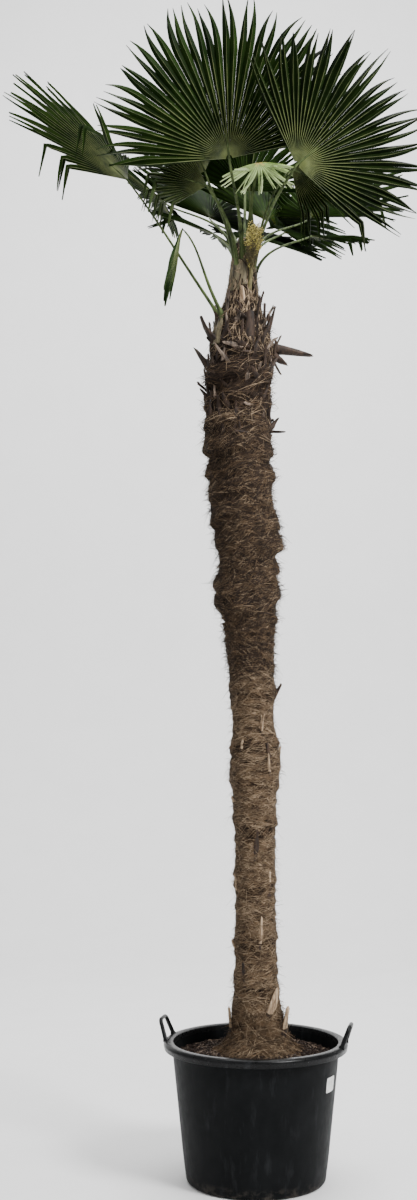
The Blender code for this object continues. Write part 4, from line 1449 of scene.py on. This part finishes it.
class Blade:
    """The fan of one frond: the rule that its solid follows, and the narrow leaflets made by it."""

    crown = np.array([-0.043, 0.0, 3.190])
    leaflet_angle = math.radians(8.2)
    pleat = 0.009
    thick = 0.0009

    def __init__(self, frond: Frond) -> None:
        """Works out the hub and the blade's three directions."""
        self.frond = frond
        heading = math.radians(frond.heading)
        lift, roll = math.radians(frond.lift), math.radians(frond.roll)
        self.hub = self.crown + level_ways(frond.azimuth)[0] * frond.reach + UP * frond.rise
        self.along = np.array(
            [math.cos(heading) * math.cos(lift), math.sin(heading) * math.cos(lift), math.sin(lift)]
        )
        level = unit(np.cross(UP, self.along))
        upper = np.cross(self.along, level)
        self.side = level * math.cos(roll) + upper * math.sin(roll)
        self.upper = np.cross(self.along, self.side)
        self.half_span = math.radians(frond.half_span)
        self.count = max(3, round(2 * self.half_span / self.leaflet_angle))
        self.step = 2 * self.half_span / self.count
        self.notch_angles = -self.half_span + self.step * np.arange(self.count + 1)
        self.ridge_angles = self.notch_angles[:-1] + self.step / 2
        self.notches = self.place(self.notch_angles, self.notch_radius(self.notch_angles), -self.pleat)
        self.tips = self.place(self.ridge_angles, self.length(self.ridge_angles), self.pleat / 2)
        self.bends = np.zeros(self.count)
        self.shares = np.ones(self.count)

    def length(self, angle: np.ndarray) -> np.ndarray:
        """A leaflet's length: the side ones are shorter."""
        return self.frond.radius * (1.0 - 0.24 * np.minimum(np.abs(angle) / self.half_span, 1.0) ** 2.5)

    def notch_radius(self, angle: np.ndarray) -> np.ndarray:
        """How far out the leaflets stay joined."""
        return self.frond.radius * (0.60 - 0.22 * np.minimum(np.abs(angle) / self.half_span, 1.0) ** 2)

    def place(self, angle: np.ndarray, radius: np.ndarray, raise_by: np.ndarray | float) -> np.ndarray:
        """Points of the blade.

        Args:
            angle: angles from the middle leaflet.
            radius: distances from the hub.
            raise_by: how far above the fan's own surface.

        Returns:
            The points, with their coordinates on the last axis.
        """
        angle, radius, raise_by = np.broadcast_arrays(angle, radius, raise_by)
        flat = self.along * np.cos(angle)[..., None] + self.side * np.sin(angle)[..., None]
        sunk = self.frond.droop * self.frond.radius * (radius / self.frond.radius) ** 2
        bowed = 0.10 * radius * np.sin(angle) ** 2
        found = self.hub + flat * radius[..., None] + self.upper * (raise_by - bowed)[..., None]
        found[..., 2] -= sunk
        return found

    def bent_tip(self, k: int, angle: float, share: float) -> np.ndarray:
        """The solid leaflet's tip, turned where it leaves the joined part.

        Args:
            k: which leaflet.
            angle: how far it is turned up or down.
            share: the share of its length that it keeps.

        Returns:
            The tip.
        """
        root = (self.notches[k] + self.notches[k + 1]) / 2
        across = unit(self.notches[k + 1] - self.notches[k])
        return root + turned(self.tips[k] - root, across, angle) * share

    def misses(self, points: np.ndarray, solid: np.ndarray) -> float:
        """How far the farthest of the points lies from a point of the solid."""
        return float(np.max(np.min(np.linalg.norm(points[:, None] - solid[None], axis=2), axis=1)))


def turned(vector: np.ndarray, axis: np.ndarray, angle: float | np.ndarray) -> np.ndarray:
    """Turns vectors about an axis.

    Args:
        vector: the vectors, with their coordinates on the last axis.
        axis: the axis, of length 1.
        angle: the angle in radians.

    Returns:
        The turned vectors.
    """
    angle = np.asarray(angle)[..., None]
    along = np.sum(vector * axis, axis=-1, keepdims=True) * axis
    return along + (vector - along) * np.cos(angle) + np.cross(axis, vector) * np.sin(angle)


@dataclass
class PalmHead:
    """All fans with their leaflets, ribs and stalks."""

    trunk: Trunk
    foot_lowest: float = 3.120
    foot_highest: float = 3.360
    stalk_foot: float = 0.024
    stalk_tip: float = 0.010
    stalk_depth: float = 0.35
    slimmer: float = 0.85
    fold_depth: float = 0.0062
    uneven: float = 0.11
    sag: float = 0.015
    stray: float = 0.013
    twist: float = 0.34
    parting: Pair = (0.60, 0.88)
    heart: Pair = (0.045, 0.090)
    low_feet: tuple[tuple[str, float], ...] = (("frond_left_long", 3.126), ("frond_left_hanging", 3.122))
    near_enough: float = 0.0004
    turns: tuple[float, ...] = (0.0, 6.0, -6.0, 12.0, -12.0, 18.0, -18.0)
    rolls: tuple[float, ...] = (0.0, 18.0, -18.0, 36.0, -36.0)
    lifts: tuple[float, ...] = (0.0, 10.0, -10.0)
    rises: tuple[float, ...] = (0.0, 0.03, -0.03, 0.06)
    sizes: tuple[float, ...] = (1.0, 0.88, 0.76)
    tip_bends: tuple[float, ...] = (0, -7, 7, -14, 14, -22, 22, -32, 32)
    tip_shares: tuple[float, ...] = (1.0, 0.8, 0.6, 0.4, 0.2, 0.08)
    seen: tuple[Frond, ...] = (
        Frond(
            "frond_front_high", 262, 260, 0.305, 0.427, -112, 68, 21, 0.560, 88, 0.02,
            LeafTone.SHADED, 0.02, 1.14,
        ),
        Frond(
            "frond_right_high", -10, -66, 0.440, 0.366, 2, 40, -74, 0.530, 83, 0.02,
            LeafTone.DIM, 0.04, 1.0, -1,
        ),
        Frond(
            "frond_left_long", 190, 190, 0.430, 0.430, 215, 32, -15, 0.575, 66, 0.04,
            LeafTone.LIT, 0.04, 0.86, 3,
        ),
        Frond(
            "frond_middle_right", -85, -80, 0.150, 0.470, -96, -50, 10, 0.190, 84, 0.04,
            LeafTone.FRESH, 0.0, 0.40,
        ),
        Frond(
            "frond_right_low", 12, -52, 0.280, 0.355, 10, -20, -86, 0.310, 60, 0.06,
            LeafTone.SHADED, 0.10, 0.9, -5,
        ),
        Frond(
            "frond_left_low", 235, 228, 0.200, 0.410, 194, 14, 74, 0.310, 48, 0.06,
            LeafTone.OLD, 0.12, 0.8, 6,
        ),
        Frond(
            "frond_left_hanging", 214, 214, 0.270, 0.220, 205, -75, 30, 0.270, 26, 0.05,
            LeafTone.SHADED, 0.0,
        ),
        Frond("frond_spear", 20, 20, 0.030, 0.440, 20, 85, 0, 0.420, 9, 0.00, LeafTone.LIT, 0.0),
    )
    # The tiers' tones are painted shade or painted light on their fans.
    tiers: tuple[Tier, ...] = (
        Tier("frond_inner", 2, 84.0, 190.0, 0.14, 0.46, 74.0, 0.38, 0.02, LeafTone.SHADED),
        Tier("frond_upper", 4, 36.0, 146.0, 0.36, 0.42, 48.0, 0.44, 0.04, LeafTone.LIT),
        Tier("frond_back", 2, 66.0, 116.0, 0.24, 0.33, 32.0, 0.32, 0.04, LeafTone.SHADED),
        Tier("frond_middle", 2, 24.0, 54.0, 0.29, 0.28, 6.0, 0.25, 0.02, LeafTone.SHADED),
    )

    def changes(self) -> list[tuple[float, ...]]:
        """Every change of pose that a solid frond may have made, the smallest first."""
        lists = (self.turns, self.rolls, self.lifts, self.rises, self.sizes)
        weights = (1, 1, 1, 1, 3)
        picks = sorted(
            product(*(range(len(values)) for values in lists)),
            key=lambda found: sum(w * ((pick + 1) // 2) for w, pick in zip(weights, found)),
        )
        return [tuple(values[pick] for values, pick in zip(lists, found)) for found in picks]

    def settled(self, frond: Frond, solid: np.ndarray) -> Blade:
        """The blade in the pose that its solid has.

        Args:
            frond: the frond as first meant.
            solid: the points of its solid node.

        Returns:
            The blade, with the bend and the length of each of its tips.
        """
        for turn, roll, lift, rise, size in self.changes():
            tried = replace(
                frond,
                foot=frond.foot + turn,
                azimuth=frond.azimuth + turn,
                rise=frond.rise + rise,
                heading=frond.heading + turn,
                roll=frond.roll + roll,
                lift=frond.lift + lift,
                radius=frond.radius * size,
            )
            blade = Blade(tried)
            if blade.misses(blade.notches[:2], solid) > self.near_enough:
                continue
            if blade.misses(blade.notches, solid) < self.near_enough:
                break
        else:
            log.warning("%s: its solid's pose wasn't found", frond.name)
            return Blade(frond)
        for k in range(blade.count):
            for share, bend in product(self.tip_shares, self.tip_bends):
                tip = blade.bent_tip(k, math.radians(bend), share)
                if blade.misses(tip[None], solid) < self.near_enough:
                    blade.bends[k], blade.shares[k] = math.radians(bend), share
                    break
            else:
                log.warning("%s: tip %d wasn't found", frond.name, k)
        return blade

    def leaflets(self, blade: Blade, heap: Heap, ribs: Heap, rng: np.random.Generator) -> None:
        """Adds the leaflets of one fan and their ribs.

        Args:
            blade: the fan.
            heap: where the leaflets are gathered.
            ribs: where the ribs are gathered.
            rng: the source of chance.
        """
        joints = blade.notch_radius(blade.notch_angles) * rng.uniform(0.93, 1.10, blade.count + 1)
        joints *= blade.frond.joined
        hanging = range(blade.count)[: blade.frond.hanging]
        if blade.frond.hanging < 0:
            hanging = range(blade.count)[blade.frond.hanging :]
        for k in range(blade.count):
            self.leaflet(blade, heap, ribs, rng, k, joints[k], joints[k + 1], k in hanging)

    def leaflet(
        self,
        blade: Blade,
        heap: Heap,
        ribs: Heap,
        rng: np.random.Generator,
        k: int,
        split_low: float,
        split_high: float,
        hangs: bool,
    ) -> None:
        """Adds one leaflet: two folded halves that part again near its tip.

        Args:
            blade: the fan.
            heap: where it is gathered.
            ribs: where its ribs are gathered.
            rng: the source of chance.
            k: its number in the fan.
            split_low: where it leaves the neighbour before it.
            split_high: where it leaves the neighbour after it.
            hangs: whether it is broken, with its end hanging.
        """
        frond = blade.frond
        angle, half_step = blade.ridge_angles[k], blade.step / 2
        length = float(blade.length(angle)) * (1.0 - self.uneven * rng.random() ** 2)
        inner = frond.radius * np.array([0.02, 0.08, 0.16, 0.26, 0.36])
        radius = np.concatenate((inner, np.linspace(frond.radius * 0.44, length, 11)))
        split = (split_low + split_high) / 2
        free = np.clip((radius - split) / (length - split), 0.0, 1.0)
        near_hub = np.minimum(radius / (0.6 * frond.radius), 1.0)
        depth = self.fold_depth * near_hub * (1.0 - 0.75 * free**1.5)
        centre = self.bent_line(blade, k, radius, free, split)
        flat = -blade.along * math.sin(angle) + blade.side * math.cos(angle)
        centre[:, 2] -= abs(rng.normal(0, self.sag)) * frond.radius / 0.5 * free**2
        centre += flat * (rng.normal(0, self.stray) * free**2)[:, None]
        if hangs or rng.random() < frond.broken:
            self.fold_over(centre, free, rng)
        along = unit(np.gradient(centre, axis=0))
        side = unit(flat - along * (along @ flat)[:, None])
        over = np.cross(along, side)
        twist = rng.normal(0, self.twist) * free
        side, over = (
            side * np.cos(twist)[:, None] + over * np.sin(twist)[:, None],
            over * np.cos(twist)[:, None] - side * np.sin(twist)[:, None],
        )
        parting = frond.radius * rng.uniform(*self.parting)
        beyond = np.maximum(radius - parting, 0.0)
        for sign, limit in ((-1, split_low), (1, split_high)):
            own_free = np.clip((radius - limit) / (length - limit), 0.0, 1.0)
            reach = np.minimum(radius, limit) * half_step * 0.99 * (1.0 - 0.91 * own_free**2.1)
            gap = np.minimum(beyond * 0.055, 0.42 * reach)
            spread = beyond * 0.060 + rng.normal(0, 0.005) * free**2
            near, far = sign * (gap + spread), sign * (reach + spread)
            rows = []
            for offset, last in ((near, parting), (far, limit)):
                edge = centre + side * offset[:, None] + over * depth[:, None]
                exact = blade.place(angle + offset / radius, radius, depth)
                rows.append(np.where((radius <= min(last, split))[:, None], exact, edge))
            fold = centre + side * ((near + far) / 2)[:, None] - over * depth[:, None]
            exact = blade.place(angle + far / 2 / radius, radius, -depth)
            fold = np.where((radius <= split)[:, None], exact, fold)
            left, right = rows[::sign]
            heart = radius < frond.radius * rng.uniform(*self.heart)
            # The half at sign > 0 takes the paler finish, so each fold shows painted light on one side and
            # painted shade on the other.
            self.strip(heap, left, fold, right, over, blade.thick, heart, sign > 0)
            self.rib(ribs, fold[:-1], side[:-1], over[:-1], blade.thick, frond.radius)

    def bent_line(
        self, blade: Blade, k: int, radius: np.ndarray, free: np.ndarray, split: float
    ) -> np.ndarray:
        """A leaflet's middle line, bent as its solid is.

        Args:
            blade: the fan.
            k: the leaflet's number.
            radius: distances from the hub.
            free: how far along its free part each of them lies.
            split: where the free part starts.

        Returns:
            The line, one point a row.
        """
        line = blade.place(blade.ridge_angles[k], radius, 0.0)
        root = blade.place(blade.ridge_angles[k], split, 0.0)
        across = unit(blade.notches[k + 1] - blade.notches[k])
        bend = blade.bends[k] * np.clip(free * 3.0, 0.0, 1.0)
        keep = 1.0 - (1.0 - blade.shares[k]) * np.clip(free * 2.0, 0.0, 1.0)
        bent = root + turned(line - root, across, bend) * keep[:, None]
        return np.where((free > 0)[:, None], bent, line)

    def fold_over(self, middle: np.ndarray, free: np.ndarray, rng: np.random.Generator) -> None:
        """Breaks a leaflet's end so that it hangs.

        Args:
            middle: its middle line, changed in place.
            free: how far along its free part each point lies.
            rng: the source of chance.
        """
        start = int(np.searchsorted(free, rng.uniform(0.25, 0.6)))
        steps = np.diff(middle, axis=0)
        for k in range(max(start, 1), len(middle)):
            size = np.linalg.norm(steps[k - 1])
            fall = unit(steps[k - 1] * 0.25 + np.array([0.0, 0.0, -size]))
            middle[k] = middle[k - 1] + fall * size

    def strip(
        self,
        heap: Heap,
        left: np.ndarray,
        middle: np.ndarray,
        right: np.ndarray,
        over: np.ndarray,
        thick: float,
        heart: np.ndarray,
        lit_fold_half: bool,
    ) -> None:
        """Adds a thin closed strip folded along its middle.

        Args:
            heap: where it is gathered.
            left: its left edge.
            middle: its fold.
            right: its right edge.
            over: the direction above it at each row.
            thick: its thickness.
            heart: which rows belong to the fan's pale heart.
            lit_fold_half: whether this half of the leaflet is the paler one, with painted light on its side
                of the fold; the other half has painted shade.
        """
        top = np.stack((left, middle, right), axis=1)
        low = top - over[:, None] * thick
        rows = len(middle)
        points = np.concatenate((top.reshape(-1, 3), low.reshape(-1, 3)))
        base = 3 * np.arange(rows - 1)
        lit_half = 3 * rows
        corners = [(c, c + 3, c + 4, c + 1) for c in (0, 1)]
        corners += [(lit_half + c, lit_half + c + 1, lit_half + c + 4, lit_half + c + 3) for c in (0, 1)]
        corners += [(0, lit_half, lit_half + 3, 3), (2, 5, lit_half + 5, lit_half + 2)]
        faces = [base[:, None] + np.array(four) for four in corners]
        last = 3 * (rows - 1)
        ends = np.array(
            [
                [0, 1, lit_half + 1, lit_half],
                [1, 2, lit_half + 2, lit_half + 1],
                [last, lit_half + last, lit_half + last + 1, last + 1],
                [last + 1, lit_half + last + 1, lit_half + last + 2, last + 2],
            ]
        )
        # Marks 0 and 1 paint shade and light on the two halves of the fold; mark 2 is the fan's paler heart.
        mark = np.where(heart[:-1], 2, int(lit_fold_half))
        marks = np.concatenate((np.tile(mark, len(corners)), np.zeros(len(ends), dtype=int)))
        heap.add(points, np.concatenate((*faces, ends)), marks)

    def rib(
        self,
        heap: Heap,
        middle: np.ndarray,
        side: np.ndarray,
        over: np.ndarray,
        thick: float,
        size: float,
    ) -> None:
        """Adds the pale rib that runs under a leaflet's fold.

        Args:
            heap: where it is gathered.
            middle: the leaflet's fold.
            side: its sideways direction at each row.
            over: the direction above it at each row.
            thick: the leaflet's thickness.
            size: the fan's radius.
        """
        rows = len(middle)
        half = (0.0002 + 0.0014 * np.linspace(1.0, 0.0, rows) ** 1.4)[:, None] * size / 0.5
        centre = middle - over * thick * 0.6
        ring = np.stack((centre - side * half, centre + side * half, centre - over * (half * 1.7)), axis=1)
        heap.add(ring.reshape(-1, 3), ring_faces(rows, 3)[0][:, ::-1])
        last = 3 * (rows - 1)
        heap.tie(np.array([[0, 1, 2], [last + 2, last + 1, last]]))

    def stalk(self, blade: Blade, heap: Heap, shaft: BVHTree) -> None:
        """Adds the stalk, from a broad foot in the fibre to a rib under the blade.

        Args:
            blade: the fan that it carries.
            heap: where it is gathered.
            shaft: the solid trunk, which it stands on.
        """
        frond = blade.frond
        share = min(1.0, max(0.0, (frond.rise + 0.05) / 0.5))
        height = self.foot_lowest + (self.foot_highest - self.foot_lowest) * share
        height = dict(self.low_feet).get(frond.name, height)
        leaning = 0.70 if frond.name in dict(self.low_feet) else 0.22
        outward, foot_side = level_ways(frond.foot)
        middle, _ = self.trunk.profile_at(height)
        start = Vector((middle, 0.0, height)) + Vector(outward) * 0.5
        seat = shaft.ray_cast(start, -Vector(outward))[0]
        foot = np.array(seat) + outward * (self.stalk_foot * self.stalk_depth * 0.9 + 0.0005)
        hub = blade.hub - blade.upper * 0.005 * 0.72
        chord = float(np.linalg.norm(hub - foot))
        leave = foot + (UP + outward * leaning) * chord * 0.42
        arrive = hub - unit(unit(hub - foot) * 0.7 + blade.along * 0.3) * chord * 0.30
        t = np.linspace(0, 1, 17)[:, None]
        line = foot * (1 - t) ** 3 + leave * 3 * t * (1 - t) ** 2
        line = line + arrive * 3 * t**2 * (1 - t) + hub * t**3
        roots = []
        for drop in (0.115, 0.080, 0.045, 0.018):
            middle, radius = self.trunk.profile_at(height - drop)
            roots.append(np.array([middle, 0.0, height - drop]) + outward * (radius + 0.004))
        rib = [hub + (blade.along - blade.upper * 0.02) * reach for reach in (0.03, 0.06, 0.10)]
        line = np.concatenate((np.array(roots), line, np.array(rib)))
        blade_side = blade.side if foot_side @ blade.side >= 0 else -blade.side
        along = np.concatenate((np.zeros(4), t[:, 0], np.ones(3)))
        side = foot_side * (1 - along[:, None] ** 2) + blade_side * along[:, None] ** 2
        width = self.stalk_foot + (self.stalk_tip - self.stalk_foot) * np.sqrt(along)
        width[:5] = (0.046, 0.044, 0.036, 0.028, 0.0235)
        width[5:] *= self.slimmer
        width[-3:] = self.stalk_tip * np.array([0.7, 0.45, 0.1])
        deep = width * self.stalk_depth
        deep[:4] = (0.004, 0.006, 0.007, 0.008)
        points, (quads, ends) = tube(line, side, width / 2, deep, 10)
        mark = np.where(np.arange(len(quads)) // 10 < 3, 1, 0)
        heap.add(points, quads, mark)
        heap.tie(ends)

    def build(self) -> None:
        """Builds the leaflets by tone, the ribs and the stalks."""
        shaft_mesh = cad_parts["trunk"].data
        shaft = BVHTree.FromPolygons(
            [v.co for v in shaft_mesh.vertices], [tuple(p.vertices) for p in shaft_mesh.polygons]
        )
        rng = np.random.default_rng(7)
        heaps = {tone: Heap() for tone in LeafTone}
        nodes = {tone: [] for tone in LeafTone}
        ribs, stalks = Heap(), Heap()
        for frond in [*self.seen, *(f for tier in self.tiers for f in tier.fronds())]:
            solid_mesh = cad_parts[frond.name].data
            solid = np.array([tuple(v.co) for v in solid_mesh.vertices])
            blade = self.settled(frond, solid)
            self.leaflets(blade, heaps[frond.tone], ribs, rng)
            self.stalk(blade, stalks, shaft)
            nodes[frond.tone].append(frond.name)
        for tone, heap in heaps.items():
            piece = heap.piece(f"leaflets_{tone.value[0]}", tone.finishes(), 0.45)
            put_on(piece, "leaf", *nodes[tone])
        put_on(ribs.piece("leaflet_ribs", [RIB_PALE], 3.0), "leaf")
        put_on(stalks.piece("leaf_stalks", [STALK_GREEN, SHEATH_GREEN], 1.0), "leaf")


@dataclass
class FlowerCluster:
    """The young flower cluster: short branches thick with small buds."""

    foot: Triple = (-0.020, -0.046, 3.200)
    top: Triple = (0.006, -0.084, 3.440)
    radius: float = 0.031
    flower_share: float = 0.58
    branches: int = 34
    buds: int = 1500
    seed: int = 5

    def build(self) -> None:
        """Builds the stalk with its branches, and the buds."""
        rng = np.random.default_rng(self.seed)
        foot, top = np.array(self.foot), np.array(self.top)
        wood, buds = Heap(), Heap()
        t = np.linspace(0, 1, 12)
        line = foot + (top - foot) * t[:, None]
        side = np.tile((1.0, 0.0, 0.0), (12, 1))
        half = 0.0085 * (1 - 0.6 * t)
        wood.bar(line, side, half, half, 10)
        ball, faces = icosahedron()
        ball = unit(ball)
        each = self.buds // self.branches
        for k in range(self.branches):
            share = 1 - self.flower_share * (1 - (k + 0.5) / self.branches)
            inside = (share - (1 - self.flower_share)) / self.flower_share
            reach = self.radius * math.sin(math.pi * min(inside**1.3 * 0.80 + 0.08, 1.0)) ** 0.7 * 1.05
            angle = k * GOLDEN_TURN
            start = foot + (top - foot) * (share - 0.10)
            out = np.array([math.cos(angle), math.sin(angle), 0.0])
            u = np.linspace(0, 1, 5)[:, None]
            twig = start + out * reach * u + UP * (0.030 * u + 0.012 * u**2)
            half = np.full(5, 0.0014)
            wood.bar(twig, np.tile(UP, (5, 1)), half, half, 5)
            w = rng.uniform(0.15, 1.0, each)[:, None]
            spot = start + out * reach * w + UP * (0.030 * w + 0.012 * w**2)
            spot = spot + rng.normal(0, 0.0042, (each, 3))
            size = rng.uniform(0.0016, 0.0029, each)
            tone = 0 if share > 0.66 + 0.08 * rng.normal() else 1
            cluster = ball[None] * size[:, None, None] * rng.uniform(0.8, 1.2, (each, 1, 3))
            buds.add((cluster + spot[:, None]).reshape(-1, 3), copied(faces, each), tone)
        put_on(wood.piece("flower_branches", [BUD_STALK], 3.0), "flower")
        put_on(buds.piece("flower_buds", [BUD_YELLOW, BUD_BROWN], 3.0), "flower", "flower_cluster")


# Studio


@dataclass
class Studio:
    """A pale floor that curves up behind the palm, soft lights and the camera."""

    camera_place: Triple = (-0.169, -5.6, 1.67)
    camera_pitch: float = 4.1
    focal_pixels: float = 1534.0
    image_height: float = 1200.0
    half_width: float = 9.0
    front: float = -8.0
    back: float = 4.5
    curve: float = 2.5
    wall_top: float = 10.0
    curve_steps: int = 12

    def build_floor(self) -> None:
        """Extrudes a sheet from the floor up a curve into the backdrop."""
        with Deselected():
            bpy.ops.mesh.primitive_plane_add(size=2.0, location=(0, 0, 0))
            sheet = bpy.context.object
            for vertex in sheet.data.vertices:
                far = vertex.co.y > 0
                aside = math.copysign(self.half_width, vertex.co.x)
                vertex.co = (aside, self.back if far else self.front, 0)
            bpy.ops.object.mode_set(mode="EDIT")
            bpy.ops.mesh.select_mode(type="EDGE")
            bpy.ops.mesh.select_all(action="DESELECT")
            bpy.ops.object.mode_set(mode="OBJECT")
            for edge in sheet.data.edges:
                ends = [sheet.data.vertices[i].co.y for i in edge.vertices]
                edge.select = min(ends) > self.back - 0.01
            bpy.ops.object.mode_set(mode="EDIT")
            for k in range(self.curve_steps):
                a, b = (math.pi / 2 * step / self.curve_steps for step in (k, k + 1))
                back, up = math.sin(b) - math.sin(a), math.cos(a) - math.cos(b)
                move = (0, self.curve * back, self.curve * up)
                bpy.ops.mesh.extrude_edges_move(TRANSFORM_OT_translate={"value": move})
            bpy.ops.mesh.extrude_edges_move(TRANSFORM_OT_translate={"value": (0, 0, self.wall_top)})
            finish_shape(sheet, "studio_floor", STUDIO_PALE, 60.0)
        self.clear_from_behind(sheet)

    def clear_from_behind(self, sheet: bpy.types.Object) -> None:
        """Makes the backdrop see-through from its far side, so that it hides nothing from there.

        Args:
            sheet: the backdrop.
        """
        tree = sheet.active_material.node_tree
        output = next(node for node in tree.nodes if node.type == "OUTPUT_MATERIAL")
        pale = output.inputs["Surface"].links[0].from_socket
        side = tree.nodes.new("ShaderNodeNewGeometry")
        clear = tree.nodes.new("ShaderNodeBsdfTransparent")
        either = tree.nodes.new("ShaderNodeMixShader")
        tree.links.new(side.outputs["Backfacing"], either.inputs[0])
        tree.links.new(clear.outputs[0], either.inputs[1])
        tree.links.new(pale, either.inputs[2])
        tree.links.new(either.outputs[0], output.inputs["Surface"])

    def add_light(self, name: str, place: tuple, target: tuple, size: float, power: float) -> None:
        """Adds a soft square light.

        Args:
            name: its name.
            place: where it hangs.
            target: what it points at.
            size: its width.
            power: its power in watts.
        """
        lamp = bpy.data.lights.new(name, "AREA")
        lamp.shape = "SQUARE"
        lamp.size = size
        lamp.energy = power
        made = bpy.data.objects.new(name, lamp)
        made.location = place
        aim = Vector(target) - Vector(place)
        made.rotation_euler = aim.to_track_quat("-Z", "Y").to_euler()
        bpy.context.scene.collection.objects.link(made)

    def build_lights(self) -> None:
        """The key from the upper right, a weak fill from the left, and an even pale surround."""
        self.add_light("key_light", (3.4, -3.6, 5.2), (0.0, 0.0, 2.2), 1.8, 620.0)
        self.add_light("fill_light", (-4.5, -3.5, 3.0), (0.0, 0.0, 2.0), 3.0, 40.0)
        self.add_light("back_light", (0.0, 1.0, 7.5), (0.0, 4.5, 2.5), 5.0, 880.0)
        world = bpy.data.worlds.new("pale_surround")
        world.use_nodes = True
        shade = world.node_tree.nodes["Background"]
        shade.inputs["Color"].default_value = (1.0, 1.0, 1.0, 1.0)
        shade.inputs["Strength"].default_value = 0.50
        bpy.context.scene.world = world

    def build_camera(self) -> None:
        """The camera at the photograph's height and angle."""
        lens = bpy.data.cameras.new("camera")
        lens.sensor_width = 36.0
        lens.lens = self.focal_pixels * 36.0 / self.image_height
        made = bpy.data.objects.new("camera", lens)
        made.location = self.camera_place
        made.rotation_euler = (math.radians(90.0 + self.camera_pitch), 0.0, 0.0)
        bpy.context.scene.collection.objects.link(made)
        bpy.context.scene.camera = made

    def build(self) -> None:
        """Builds the studio."""
        self.build_floor()
        self.build_lights()
        self.build_camera()


def main() -> None:
    """Builds every sub-assembly in order."""
    logging.basicConfig(level=logging.INFO, format="%(name)s: %(message)s")
    tub = Tub()
    tub.build()
    Soil(tub).build()
    trunk = Trunk()
    trunk.build()
    PalmHead(trunk).build()
    FlowerCluster().build()
    Studio().build()


if __name__ == "__main__":
    main()
